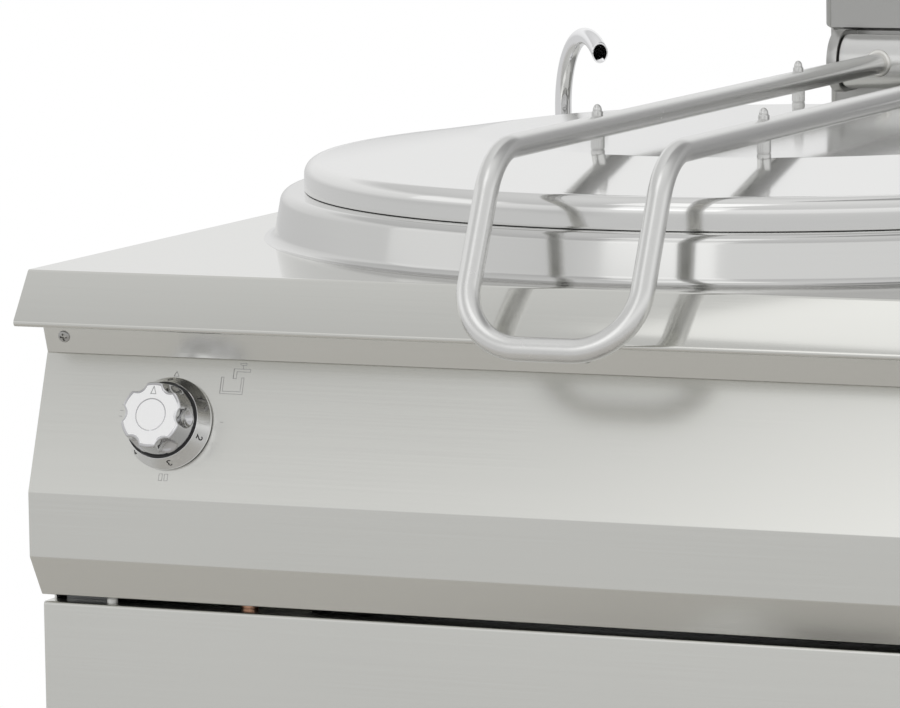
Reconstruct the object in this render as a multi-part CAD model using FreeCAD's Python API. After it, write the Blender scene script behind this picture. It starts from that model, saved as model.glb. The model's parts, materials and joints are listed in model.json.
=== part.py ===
import FreeCAD, Part
import math
import os

os.makedirs("parts", exist_ok=True)

V = FreeCAD.Vector

# Cabinet. All sizes are in millimetres, +Z is up and the front faces -Y.
TOP = 850.0
FOOT_H = 150.0
SHEET = 2.0
SKIN = 1.5
SIDE_INSET = 5.0
GAP = 0.3

# How far the drain tap stands out of the front and the water inlet out of the back.
TAP_OUT = 128.0
INLET_OUT = 30.0

# Front profile, measured back from and down from the worktop's front edge.
NOSE_OUT = 26.0
NOSE_DROP = 36.0
STRIP_BACK = 16.0
STRIP_LEAN = 8.0
STRIP_BOTTOM = 57.0
CREASE_OUT = 17.0
CREASE_1 = 149.0
CREASE_2 = 193.0
PANEL_BOTTOM = 219.0
PANEL_GAP = 6.0

# Vessel, collar and lid, all turned about one upright axis.
BOWL_R = 300.0
BOWL_T = 2.5
BOWL_DEPTH = 400.0
BOWL_CORNER = 45.0
RIM_WIDTH = 54.0
COLLAR_FLARE = 10.0
COLLAR_H = 33.0
COLLAR_T = 2.0
INSULATION = 33.5
CASING_T = 1.2
LID_INSET = 16.0
LID_T = 1.5
LID_SHOULDER = 22.0
LID_CROWN = 37.5
CREASE_INSET = 121.0
STUD_INSET = 17.0
STUD_R = 2.5
SPACER_R = 4.8
NUT_R = 4.9
COLLAR_TOP_R = BOWL_R + RIM_WIDTH
COLLAR_R = COLLAR_TOP_R + COLLAR_FLARE
CASING_R = BOWL_R + BOWL_T + INSULATION
LID_R = COLLAR_TOP_R - LID_INSET
CREASE_R = LID_R - CREASE_INSET
STUD_Y = CREASE_R - STUD_INSET

# The cabinet is as wide and deep as the collar and the room left at its sides, front and back.
SIDE_ROOM = 36.0
FRONT_ROOM = 21.0
REAR_ROOM = 151.0
WIDTH = 2.0 * (COLLAR_R + SIDE_ROOM)
DEPTH = FRONT_ROOM + 2.0 * COLLAR_R + REAR_ROOM
YF = -(DEPTH + INLET_OUT - TAP_OUT) / 2.0
Y_BACK = YF + DEPTH
BOWL_Y = YF + FRONT_ROOM + COLLAR_R

# Lid handle: one bent tube with two arms, a drop at the front and a grip at the bottom.
TUBE_R = 8.0
ARM_X = 60.0
ARM_Z = TOP + 88.0
DROP_TOP_Y = YF + 4.0
DROP_Y = YF - 58.5
GRIP_Z = TOP - 33.0
BEND_R = 50.0
GRIP_BEND_R = 42.0

# Hinge at the back.
HINGE_BEHIND = 37.0
HINGE_Y = BOWL_Y + COLLAR_R + HINGE_BEHIND
HINGE_Z = ARM_Z
BARREL_R = 21.0
AXLE_R = 7.0
RUN_FIT = 0.05
COLUMN_HALF = 116.0
CHEEK_T = 8.0
CHEEK_IN = 15.0
COLUMN_FRONT = HINGE_Y + BARREL_R + 4.0
COLUMN_BACK = Y_BACK - 14.0
COLUMN_TOP = TOP + 176.0
COLUMN_EDGE_R = 6.0

# Knobs stand square on the sloping part of the control panel.
KNOB_SIDE = 104.0
KNOB_X = WIDTH / 2.0 - KNOB_SIDE
KNOB_DROP = 101.0
SKIRT_R = 31.0
GRIP_BASE_R = 25.0
GRIP_FACE_R = 21.2
SCOOP_R = 8.0
SPINDLE_R = 4.0

# Filling spout.
SPOUT_SIDE = 84.0
SPOUT_BACK = 150.0
SPOUT_X = -(WIDTH / 2.0 - SPOUT_SIDE)
SPOUT_Y = Y_BACK - SPOUT_BACK
SPOUT_R = 6.5
SPOUT_T = 1.0
SPOUT_TURN = -50.0
SPOUT_BEND = 60.0
SPOUT_SWEEP = 125.0
SPOUT_RISE = 60.0

# Drain.
DRAIN_IN = 60.0
DRAIN_SINK = 4.0
SPIGOT = 75.0
DRAIN_DROP = 54.0
DRAIN_Y = BOWL_Y - (BOWL_R - BOWL_CORNER - DRAIN_IN)
DRAIN_Z = TOP - BOWL_DEPTH + COLLAR_H - DRAIN_SINK - SPIGOT - DRAIN_DROP
DRAIN_R = 25.0
DRAIN_T = 2.0
BALL_R = 25.0
STEM_R = 5.0


def box(x0, x1, y0, y1, z0, z1):
    """Box between two corners."""
    return Part.makeBox(x1 - x0, y1 - y0, z1 - z0, V(x0, y0, z0))


def rod(r, length, base, axis):
    """Cylinder of radius r that starts at base and runs along axis."""
    return Part.makeCylinder(r, length, base, axis)


def tube(r, inner, length, base, axis):
    """Hollow cylinder."""
    return rod(r, length, base, axis).cut(rod(inner, length, base, axis))


def face(points):
    """Flat face inside a closed run of straight edges."""
    return Part.Face(Part.makePolygon(points + [points[0]]))


def turned(profile, x, y, z):
    """Solid of revolution: (radius, height) pairs turned about an upright axis at x, y."""
    pts = [V(x + r, y, z + h) for r, h in profile]
    return face(pts).revolve(V(x, y, z), V(0, 0, 1), 360)


def band(line, t):
    """Closed outline of a bent sheet: the line itself and the line set off by t to its right."""
    normals = []
    for a, b in zip(line, line[1:]):
        length = math.hypot(b[0] - a[0], b[1] - a[1])
        normals.append(((b[1] - a[1]) / length, -(b[0] - a[0]) / length))
    inner = []
    for i, p in enumerate(line):
        before = normals[max(i - 1, 0)]
        after = normals[min(i, len(normals) - 1)]
        k = t / (1.0 + before[0] * after[0] + before[1] * after[1])
        inner.append((p[0] + k * (before[0] + after[0]), p[1] + k * (before[1] + after[1])))
    return line + inner[::-1]


def bent_sheet(line, t, x0, x1):
    """Sheet bent along a line of (y, z) pairs and as wide as x0 to x1."""
    pts = [V(x0, y, z) for y, z in band(line, t)]
    return face(pts).extrude(V(x1 - x0, 0, 0))


def rounded_wire(points, radius):
    """Open wire through points with every inner corner rounded to the given radius."""
    edges = []
    last = points[0]
    for i in range(1, len(points) - 1):
        p = points[i]
        a = (points[i - 1] - p).normalize()
        b = (points[i + 1] - p).normalize()
        half = math.acos(max(-1.0, min(1.0, a.dot(b)))) / 2.0
        run = radius[i - 1] / math.tan(half)
        start = p + a * run
        end = p + b * run
        centre = p + (a + b).normalize() * (radius[i - 1] / math.sin(half))
        middle = centre + (p - centre).normalize() * radius[i - 1]
        edges.append(Part.makeLine(last, start))
        edges.append(Part.Arc(start, middle, end).toShape())
        last = end
    edges.append(Part.makeLine(last, points[-1]))
    return Part.Wire(edges)


def swept(points, radius, r):
    """Round bar of radius r along a rounded wire."""
    path = rounded_wire(points, radius)
    axis = points[1] - points[0]
    ring = Part.Wire([Part.makeCircle(r, points[0], axis)])
    return path.makePipeShell([ring], True, True)


def pipe(points, radius, r, t):
    """Hollow pipe with outer radius r and wall t along a rounded wire."""
    return swept(points, radius, r).cut(swept(points, radius, r - t))


def round_front(block, radius):
    """Round the upright and sloping edges down the two front corners of the column."""
    edges = []
    for e in block.Edges:
        at_side = e.BoundBox.XLength < 0.01 and e.BoundBox.ZLength > 1.0
        if at_side and e.BoundBox.YMax < COLUMN_FRONT + SHEET + 1.0:
            edges.append(e)
    return block.makeFillet(radius, edges)


def save(shape, name):
    """Write one named piece; several solids of one kind stay separate in the group."""
    shape.exportStep("parts/" + name + ".step")


def group(shapes):
    """Separate solids of one kind under one name."""
    return Part.Compound(shapes)


X_OUT = WIDTH / 2.0
X_BODY = X_OUT - SIDE_INSET
Z_BASE = FOOT_H

# Feet: a sleeve fixed under the frame and a screwed stem with a round pad.
foot_x = X_BODY - 60.0
foot_front = YF + 90.0
foot_back = Y_BACK - 70.0
sleeves = []
stems = []
for fx in (-foot_x, foot_x):
    for fy in (foot_front, foot_back):
        plate = box(fx - 40, fx + 40, fy - 40, fy + 40, Z_BASE - 4, Z_BASE)
        sleeve = rod(21, 92, V(fx, fy, Z_BASE - 96), V(0, 0, 1))
        sleeve = sleeve.fuse(plate).cut(rod(15.05, 88, V(fx, fy, Z_BASE - 96), V(0, 0, 1)))
        sleeves.append(sleeve)
        pad = turned([(0, 0), (28, 0), (30, 3), (30, 9), (22, 14), (15, 20), (15, 118), (0, 118)], fx, fy, 0)
        flats = rod(19, 8, V(fx, fy, 24), V(0, 0, 1))
        flats = flats.common(box(fx - 16.5, fx + 16.5, fy - 30, fy + 30, 24, 32))
        stems.append(pad.fuse(flats))
save(group(stems), "foot_stems")

# Base frame: four channels round the edge and two cross bars.
fr_x = X_BODY - SKIN - 1.0
fr_y0 = YF + 22.0
fr_y1 = Y_BACK - 6.0
frame_h = 40.0
outer = box(-fr_x, fr_x, fr_y0, fr_y1, Z_BASE, Z_BASE + frame_h)
hollow = box(-fr_x + 3, fr_x - 3, fr_y0 + 3, fr_y1 - 3, Z_BASE + 3, Z_BASE + frame_h)
middle = box(-fr_x + 90, fr_x - 90, fr_y0 + 90, fr_y1 - 90, Z_BASE - 1, Z_BASE + 4)
base_frame = outer.cut(hollow).cut(middle)
bars = []
for by in (YF + 300.0, YF + 600.0):
    bar = box(-fr_x + 90, fr_x - 90, by - 25, by + 25, Z_BASE, Z_BASE + 3)
    web = box(-fr_x + 90, fr_x - 90, by - 25, by - 22, Z_BASE, Z_BASE + 30)
    bars.append(bar.fuse(web))
base_frame = base_frame.fuse(bars).fuse(sleeves).removeSplitter()
save(base_frame, "base_frame")

# Uprights at the four corners carry the worktop.
posts = []
post_z0 = Z_BASE + 3.0
post_z1 = TOP - SHEET
for sx in (-1, 1):
    for py, sy in ((fr_y0 + 3.0, 1), (fr_y1 - 3.0, -1)):
        px = sx * (fr_x - 3.0)
        wide = box(min(px, px - sx * 34), max(px, px - sx * 34), min(py, py + sy * 3), max(py, py + sy * 3),
                   post_z0, post_z1)
        deep = box(min(px, px - sx * 3), max(px, px - sx * 3), min(py, py + sy * 34), max(py, py + sy * 34),
                   post_z0, post_z1)
        posts.append(wide.fuse(deep).removeSplitter())
save(group(posts), "corner_posts")

# Side panels with edges folded in at the front and back.
side_top = TOP - SHEET - 1.0
for sx, name in ((-1, "left_side_panel"), (1, "right_side_panel")):
    x1 = sx * X_BODY
    x0 = sx * (X_BODY - SKIN)
    skin = box(min(x0, x1), max(x0, x1), YF + 18, Y_BACK - 4, Z_BASE, side_top)
    xf = sx * (X_BODY - SKIN)
    xe = sx * (X_BODY - SKIN - 12)
    back = box(min(xf, xe), max(xf, xe), Y_BACK - 5.5, Y_BACK - 4, Z_BASE + 45, side_top - 20)
    save(skin.fuse(back).removeSplitter(), name)

# Rear cover with round holes for the water and power connections and a row of vent slots.
rear = box(-X_BODY, X_BODY, Y_BACK - 4 + 0.2, Y_BACK - 4 + 0.2 + SKIN, Z_BASE, TOP - NOSE_DROP - 4)
PORT_SIDE = 150.0
INLET_X = -(X_OUT - PORT_SIDE)
INLET_Z = Z_BASE + 130.0
INLET_R = 10.5
GLAND_X = X_OUT - PORT_SIDE
GLAND_R = 13.0
rear = rear.cut(rod(INLET_R + GAP, 12, V(INLET_X, Y_BACK - 10, INLET_Z), V(0, 1, 0)))
rear = rear.cut(rod(GLAND_R + GAP, 12, V(GLAND_X, Y_BACK - 10, INLET_Z), V(0, 1, 0)))
for i in range(9):
    sx = -160.0 + 40.0 * i
    slot = box(sx - 4, sx + 4, Y_BACK - 10, Y_BACK + 2, TOP - 220, TOP - 140)
    ends = rod(4, 12, V(sx, Y_BACK - 10, TOP - 220), V(0, 1, 0)).fuse(
        rod(4, 12, V(sx, Y_BACK - 10, TOP - 140), V(0, 1, 0)))
    rear = rear.cut(slot.fuse(ends))
save(rear, "rear_cover")

# Worktop: a plate with a sloping nose along the front and folds at the sides and back.
nose_tip = (YF - NOSE_OUT, TOP - NOSE_DROP)
nose_back = (YF + STRIP_BACK - STRIP_LEAN - 4, TOP - NOSE_DROP - 1)
nose = [(Y_BACK, TOP), (YF, TOP), nose_tip, nose_back]
worktop = bent_sheet(nose[::-1], SHEET, -X_OUT, X_OUT)
end_pts = [(YF, TOP), nose_tip, nose_back]
end_pts = end_pts + [(Y_BACK, TOP - NOSE_DROP - 1), (Y_BACK, TOP)]
for x0 in (-X_OUT, X_OUT - SHEET):
    cheek = face([V(x0, y, z) for y, z in end_pts]).extrude(V(SHEET, 0, 0))
    worktop = worktop.fuse(cheek)
worktop = worktop.fuse(box(-X_OUT, X_OUT, Y_BACK - SHEET, Y_BACK, TOP - NOSE_DROP + 6, TOP))
worktop = worktop.cut(rod(CASING_R + CASING_T + 1, 20, V(0, BOWL_Y, TOP - 10), V(0, 0, 1)))
worktop = worktop.cut(rod(SPOUT_R + 4.5, 20, V(SPOUT_X, SPOUT_Y, TOP - 10), V(0, 0, 1)))
worktop = worktop.removeSplitter()
save(worktop, "worktop")

# Recess strip behind the nose; its lower part leans back down to the control panel.
strip_back = YF + STRIP_BACK
strip_top = strip_back - STRIP_LEAN
lean_z = TOP - NOSE_DROP + 1
strip_line = [(strip_back + 8, TOP - 10), (strip_top, TOP - 10), (strip_top, lean_z)]
strip_line = strip_line + [(strip_back, TOP - STRIP_BOTTOM)]
strip_half = X_BODY - 4.0
strip = bent_sheet(strip_line[::-1], SKIN, -strip_half, strip_half)
SCREW_X = strip_half - 11.0
SCREW_Z = TOP - 46.0
lean = math.atan2(STRIP_LEAN, lean_z - TOP + STRIP_BOTTOM)
screw_y = strip_back - (SCREW_Z - TOP + STRIP_BOTTOM) * math.tan(lean)
screws = []
for sx in (-1, 0, 1):
    hole = rod(2.6, 20, V(0, -10, 0), V(0, 1, 0))
    head = rod(4.2, 2.0, V(0, -2.0, 0), V(0, 1, 0))
    edge = max(head.Edges, key=lambda e: -e.BoundBox.YMax + e.Length * 0.001)
    head = head.makeFillet(1.1, [edge])
    cross = box(-0.6, 0.6, -3, -0.9, -2.4, 2.4).fuse(box(-2.4, 2.4, -3, -0.9, -0.6, 0.6))
    screw = head.cut(cross).fuse(rod(2.0, 8, V(0, 0, 0), V(0, 1, 0)))
    for shape in (hole, screw):
        shape.rotate(V(0, 0, 0), V(1, 0, 0), math.degrees(lean))
        shape.translate(V(sx * SCREW_X, screw_y, SCREW_Z))
    strip = strip.cut(hole)
    screws.append(screw)
save(strip, "recess_strip")
save(group(screws), "strip_screws")

# Control panel: sloping face, upright face and a lower face that turns back under it.
y_strip = YF + STRIP_BACK
panel_line = [(y_strip + 8, TOP - STRIP_BOTTOM - 0.2), (y_strip, TOP - STRIP_BOTTOM - 0.2),
              (YF - CREASE_OUT, TOP - CREASE_1), (YF - CREASE_OUT, TOP - CREASE_2),
              (YF, TOP - PANEL_BOTTOM), (YF + 14, TOP - PANEL_BOTTOM)]
panel = bent_sheet(panel_line, -SKIN, -X_BODY, X_BODY)
end_face = [(YF + 17.5, TOP - STRIP_BOTTOM - 0.2), (y_strip, TOP - STRIP_BOTTOM - 0.2),
            (YF - CREASE_OUT, TOP - CREASE_1), (YF - CREASE_OUT, TOP - CREASE_2),
            (YF, TOP - PANEL_BOTTOM), (YF + 17.5, TOP - PANEL_BOTTOM)]
for x0 in (-X_BODY, X_BODY - SKIN):
    panel = panel.fuse(face([V(x0, y, z) for y, z in end_face]).extrude(V(SKIN, 0, 0)))
    notch = box(x0 - GAP, x0 + SKIN + GAP, YF + 18 - GAP, y_strip + 20, TOP - PANEL_BOTTOM, TOP)
    panel = panel.cut(notch)

# Slope of the panel and the knob axis that stands square on it.
slope_run = CREASE_OUT + STRIP_BACK
slope_fall = CREASE_1 - STRIP_BOTTOM
slope_len = math.hypot(slope_run, slope_fall)
KNOB_AXIS = V(0, -slope_fall / slope_len, slope_run / slope_len)
KNOB_UP = V(0, slope_run / slope_len, slope_fall / slope_len)
knob_y = y_strip - slope_run * (KNOB_DROP - STRIP_BOTTOM) / slope_fall
knob_seats = {}
for sx, name in ((-1, "fill"), (1, "heat")):
    seat = V(sx * KNOB_X, knob_y, TOP - KNOB_DROP)
    knob_seats[name] = seat
    panel = panel.cut(rod(SPINDLE_R + 2.0, 20, seat - KNOB_AXIS * 10, KNOB_AXIS))
panel = panel.removeSplitter()
save(panel, "control_panel")


def on_panel(shape, seat):
    """Stand a shape that was made about the origin on the panel slope at seat."""
    turn = FreeCAD.Rotation(V(1, 0, 0), KNOB_UP, KNOB_AXIS, "ZXY")
    shape.Placement = FreeCAD.Placement(seat, turn).multiply(shape.Placement)
    return shape


# Each knob has a cone skirt with the dial and a grip with six scoops; both turn with one spindle.
SKIRT_H = 13.0
GRIP_H = 21.0
KNOB_LIFT = 0.8
for name in ("fill", "heat"):
    seat = knob_seats[name]
    cone = turned([(SPINDLE_R, 0), (SKIRT_R - 1, 0), (SKIRT_R, 1), (SKIRT_R, 3), (GRIP_BASE_R + 0.5, SKIRT_H),
                   (SPINDLE_R, SKIRT_H)], 0, 0, 0)
    under = turned([(9, -1), (SKIRT_R - 3, -1), (SKIRT_R - 3, 2), (GRIP_BASE_R - 1.5, SKIRT_H - 3),
                    (9, SKIRT_H - 3)], 0, 0, 0)
    skirt = cone.cut(under)
    skirt.translate(V(0, 0, KNOB_LIFT))
    save(on_panel(skirt, seat), name + "_knob_skirt")
    grip = turned([(0, 0), (GRIP_BASE_R - 0.5, 0), (GRIP_BASE_R, 0.6), (GRIP_FACE_R + 0.2, GRIP_H - 1.1),
                   (GRIP_FACE_R - 0.9, GRIP_H), (0, GRIP_H)], 0, 0, 0)
    for i in range(6):
        a = math.radians(60 * i)
        centre = V(math.cos(a), math.sin(a), 0) * (GRIP_FACE_R + SCOOP_R - 3.3) + V(0, 0, SCOOP_R + 4.0)
        scoop = rod(SCOOP_R, GRIP_H, centre, V(0, 0, 1))
        grip = grip.cut(scoop.fuse(Part.makeSphere(SCOOP_R, centre)))
    grip = grip.cut(rod(SPINDLE_R, GRIP_H - 5, V(0, 0, 0), V(0, 0, 1)))
    grip.translate(V(0, 0, KNOB_LIFT + SKIRT_H + 0.2))
    save(on_panel(grip, seat), name + "_knob_grip")
    spindle = rod(SPINDLE_R, 22.0 + KNOB_LIFT + SKIRT_H + GRIP_H - 5.0, V(0, 0, -22), V(0, 0, 1))
    save(on_panel(spindle, seat), name + "_spindle")

# Water valve behind the left knob and heat regulator behind the right knob.
valve = rod(19, 34, V(0, 0, -36), V(0, 0, 1)).fuse(rod(12, 1.9, V(0, 0, -3.6), V(0, 0, 1)))
valve = valve.fuse(rod(9, 60, V(-30, 0, -24), V(1, 0, 0)))
valve = valve.cut(rod(SPINDLE_R + RUN_FIT, 22.5, V(0, 0, -22.5), V(0, 0, 1)))
valve = valve.cut(rod(5, 12, V(-31, 0, -24), V(1, 0, 0)))
valve = valve.cut(rod(5, 12, V(19, 0, -24), V(1, 0, 0)))
save(on_panel(valve, knob_seats["fill"]), "water_valve")
regulator = box(-24, 24, -22, 22, -44, -6)
regulator = regulator.fuse(rod(12, 4.3, V(0, 0, -6), V(0, 0, 1)))
regulator = regulator.cut(rod(SPINDLE_R + RUN_FIT, 22.5, V(0, 0, -22.5), V(0, 0, 1)))
for i in range(4):
    regulator = regulator.fuse(box(-17 + 10 * i, -13 + 10 * i, -1, 1, -52, -44))
save(on_panel(regulator, knob_seats["heat"]), "heat_regulator")

# Lower front panel with a flange folded back along the top, held on two nylon buffers.
door_top = TOP - PANEL_BOTTOM - PANEL_GAP
door_half = X_BODY - 1.0
door_line = [(YF + 16, door_top - 9), (YF + 16, door_top), (YF, door_top), (YF, Z_BASE + 4)]
door_line = door_line + [(YF + 16, Z_BASE + 4)]
front_panel = bent_sheet(door_line, -SKIN, -door_half, door_half)
front_panel = front_panel.cut(rod(DRAIN_R + 1.0, 20, V(0, YF - 5, DRAIN_Z), V(0, 1, 0)))
buffers = []
BUFFER_X = door_half - 50.0
for bx in (-BUFFER_X, BUFFER_X):
    front_panel = front_panel.cut(rod(3.0 + GAP, 8, V(bx, YF + 8, door_top - 6), V(0, 0, 1)))
    pin = rod(3.0, 8, V(bx, YF + 8, door_top - 5), V(0, 0, 1))
    buffers.append(pin.fuse(rod(5.5, PANEL_GAP, V(bx, YF + 8, door_top), V(0, 0, 1))))
save(front_panel, "front_panel")
save(group(buffers), "panel_buffers")

# Pressed collar round the mouth of the vessel.
collar_line = [(COLLAR_R + 3, 0), (COLLAR_R, 1.2), (COLLAR_R - 1.6, 4.4)]
collar_line = collar_line + [(COLLAR_TOP_R + 2.6, COLLAR_H - 5.2), (COLLAR_TOP_R + 1.2, COLLAR_H - 2.2)]
collar_line = collar_line + [(COLLAR_TOP_R - 1.2, COLLAR_H - 0.6), (COLLAR_TOP_R - 4, COLLAR_H)]
collar_line = collar_line + [(BOWL_R + 15, COLLAR_H), (BOWL_R + 10, COLLAR_H - 1)]
collar_line = collar_line + [(BOWL_R + 6.4, COLLAR_H - 3.6)]
collar_line = collar_line + [(BOWL_R + 4.4, COLLAR_H - 7), (BOWL_R + 4.4, COLLAR_H - 10.5)]
collar_pts = band(collar_line[::-1], COLLAR_T)
collar = turned([p if p[1] >= 0 else (p[0], 0.0) for p in collar_pts], 0, BOWL_Y, TOP)
save(collar, "vessel_collar")

# Vessel: straight wall, rounded corner and a bottom that falls gently to the drain.
FLANGE_Z = COLLAR_H - 10.5
wall_in = [(BOWL_R, FLANGE_Z)]
for i in range(9):
    a = math.pi / 2.0 * i / 8.0
    wall_in.append((BOWL_R - BOWL_CORNER + BOWL_CORNER * math.cos(a),
                    -BOWL_DEPTH + COLLAR_H + BOWL_CORNER - BOWL_CORNER * math.sin(a)))
bowl_floor = -BOWL_DEPTH + COLLAR_H
inner = [(0, FLANGE_Z)] + wall_in + [(0, bowl_floor - 6)]
outer = [(0, FLANGE_Z), (BOWL_R + 30, FLANGE_Z), (BOWL_R + 30, FLANGE_Z - BOWL_T),
         (BOWL_R + BOWL_T, FLANGE_Z - BOWL_T)]
for r, h in wall_in[1:]:
    dx = r - (BOWL_R - BOWL_CORNER)
    dz = h - (bowl_floor + BOWL_CORNER)
    outer.append((r + BOWL_T * dx / BOWL_CORNER, h + BOWL_T * dz / BOWL_CORNER))
outer = outer + [(0, bowl_floor - 6 - BOWL_T)]
bowl = turned(outer, 0, BOWL_Y, TOP).cut(turned(inner, 0, BOWL_Y, TOP))
spigot_end = DRAIN_Z + DRAIN_DROP
spigot = rod(DRAIN_R, SPIGOT, V(0, DRAIN_Y, spigot_end), V(0, 0, 1))
bowl = bowl.fuse(spigot).cut(rod(DRAIN_R - DRAIN_T, 99, V(0, DRAIN_Y, spigot_end - 5), V(0, 0, 1)))
save(bowl, "inner_vessel")

# Casing round the vessel with a flange under the worktop, and the insulation between the two.
CASING_BOTTOM = bowl_floor - 62.0
flange_top = TOP - SHEET
casing = turned([(CASING_R, -SHEET), (CASING_R + 26, -SHEET), (CASING_R + 26, -SHEET - CASING_T),
                 (CASING_R + CASING_T, -SHEET - CASING_T), (CASING_R + CASING_T, CASING_BOTTOM),
                 (0, CASING_BOTTOM), (0, CASING_BOTTOM + CASING_T), (CASING_R, CASING_BOTTOM + CASING_T)],
                0, BOWL_Y, TOP)
casing = casing.cut(rod(DRAIN_R + 1, 30, V(0, DRAIN_Y, TOP + CASING_BOTTOM - 10), V(0, 0, 1)))
RING_PITCH = 40.0
outer_ring = BOWL_Y - DRAIN_Y - DRAIN_R - 20.0
RINGS = (outer_ring - 2 * RING_PITCH, outer_ring - RING_PITCH, outer_ring)
END_ANGLE = math.radians(7.5)
leg_spots = []
for ring_r in RINGS:
    for sx in (-1, 1):
        leg_spots.append((ring_r, sx * ring_r * math.sin(END_ANGLE), BOWL_Y + ring_r * math.cos(END_ANGLE)))
leg_holes = group([rod(5.2, 60, V(lx, ly, TOP + CASING_BOTTOM - 10), V(0, 0, 1)) for r, lx, ly in leg_spots])
casing = casing.cut(leg_holes)
save(casing, "vessel_casing")
blanket_h = BOWL_DEPTH - 70.0
blanket_foot = V(0, BOWL_Y, TOP - 3 - blanket_h)
blanket = tube(CASING_R - GAP, BOWL_R + BOWL_T + GAP, blanket_h, blanket_foot, V(0, 0, 1))
save(blanket, "insulation_blanket")
PAD_TOP = CASING_BOTTOM + CASING_T + 26.0
pad = rod(CASING_R - GAP - 4, 26, V(0, BOWL_Y, TOP + CASING_BOTTOM + CASING_T), V(0, 0, 1))
pad = pad.cut(rod(DRAIN_R + 1, 60, V(0, DRAIN_Y, TOP + CASING_BOTTOM - 10), V(0, 0, 1)))
pad = pad.cut(leg_holes)
save(pad, "bottom_insulation")

# Three ring heating elements lie under the vessel bottom and a plate clamps them up.
under_z = TOP + bowl_floor - 6 - BOWL_T
ELEMENT_R = 4.25
floor_fall = 6.0 / (BOWL_R - BOWL_CORNER)


def underside(r):
    """Height of the vessel's lower face at radius r."""
    return under_z + floor_fall * r


PLATE_Z = underside(RINGS[0]) - 2 * ELEMENT_R - 0.4
elements = []
for ring_r in RINGS:
    ring_z = PLATE_Z + ELEMENT_R
    ring = Part.makeTorus(ring_r, ELEMENT_R, V(0, BOWL_Y, ring_z), V(0, 0, 1), -180, 180, 345)
    ring.rotate(V(0, BOWL_Y, ring_z), V(0, 0, 1), 97.5)
    for r, lx, ly in leg_spots:
        if r == ring_r:
            leg_low = TOP + CASING_BOTTOM - 14
            leg = rod(ELEMENT_R, ring_z - leg_low, V(lx, ly, leg_low), V(0, 0, 1))
            ring = ring.fuse(leg).fuse(Part.makeSphere(ELEMENT_R, V(lx, ly, ring_z)))
    elements.append(ring)
save(group(elements), "heating_elements")
clamp = tube(RINGS[2] + 15, RINGS[0] - 30, 3, V(0, BOWL_Y, PLATE_Z - 3), V(0, 0, 1))
for k in range(6):
    a = math.radians(60 * k + 30)
    half = 26 if k == 1 else 9
    slot = box(RINGS[0] - 10, RINGS[2] + 10, -half, half, -6, 6)
    slot.rotate(V(0, 0, 0), V(0, 0, 1), math.degrees(a))
    slot.translate(V(0, BOWL_Y, PLATE_Z))
    clamp = clamp.cut(slot)
clamp_bolts = []
bolt_r = RINGS[0] - 18.0
for k in range(3):
    a = math.radians(120 * k + 60)
    spot = V(bolt_r * math.cos(a), BOWL_Y + bolt_r * math.sin(a), PLATE_Z - 9)
    shank = rod(3, underside(bolt_r) - 0.3 - spot.z, spot, V(0, 0, 1))
    clamp_bolts.append(shank.fuse(rod(5.5, 5, spot + V(0, 0, 1), V(0, 0, 1))))
    clamp = clamp.cut(rod(3.2, 20, spot, V(0, 0, 1)))
save(clamp, "element_clamp")
save(group(clamp_bolts), "clamp_bolts")

# Lift-out strainer over the drain: a domed disc with holes and a skirt that drops into the outlet.
FLOOR_Z = TOP + bowl_floor - 6.0
strainer_z = FLOOR_Z + floor_fall * (BOWL_Y - DRAIN_Y + 30.0) + 0.05
strainer = turned([(0, 2), (30, 0), (30, 2), (24, 5), (0, 7)], 0, DRAIN_Y, strainer_z)
skirt_r = DRAIN_R - DRAIN_T - GAP
strainer = strainer.fuse(tube(skirt_r, skirt_r - 2, 12, V(0, DRAIN_Y, strainer_z - 10), V(0, 0, 1)))
for k in range(10):
    a = 2 * math.pi * k / 10.0
    spot = V(15 * math.cos(a), DRAIN_Y + 15 * math.sin(a), strainer_z - 5)
    strainer = strainer.cut(rod(3, 20, spot, V(0, 0, 1)))
lift_knob = turned([(0, 6), (4, 6), (3, 14), (6, 18), (4, 22), (0, 23)], 0, DRAIN_Y, strainer_z)
strainer = strainer.fuse(lift_knob)
save(strainer, "drain_strainer")

# Drain pipe from the vessel's outlet to the tap, with a clamp ring over the upper joint.
drain_pipe = pipe([V(0, DRAIN_Y, spigot_end), V(0, DRAIN_Y, DRAIN_Z), V(0, YF - 14, DRAIN_Z)], [38.0],
                  DRAIN_R, DRAIN_T)
save(drain_pipe, "drain_pipe")
joint = tube(DRAIN_R + 4, DRAIN_R + 0.05, 24, V(0, DRAIN_Y, spigot_end - 12), V(0, 0, 1))
ear = box(DRAIN_R + 2, DRAIN_R + 16, DRAIN_Y - 5, DRAIN_Y + 5, spigot_end - 12, spigot_end + 12)
joint = joint.fuse(ear.cut(rod(2.5, 20, V(DRAIN_R + 9, DRAIN_Y - 10, spigot_end), V(0, 1, 0))))
save(joint, "pipe_clamp")


def along_drain(profile, y0):
    """Solid of revolution about the tap's axis: (radius, distance forward of y0) pairs."""
    pts = [V(0, y0 - d, DRAIN_Z + r) for r, d in profile]
    return face(pts).revolve(V(0, y0, DRAIN_Z), V(0, 1, 0), 360)


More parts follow.
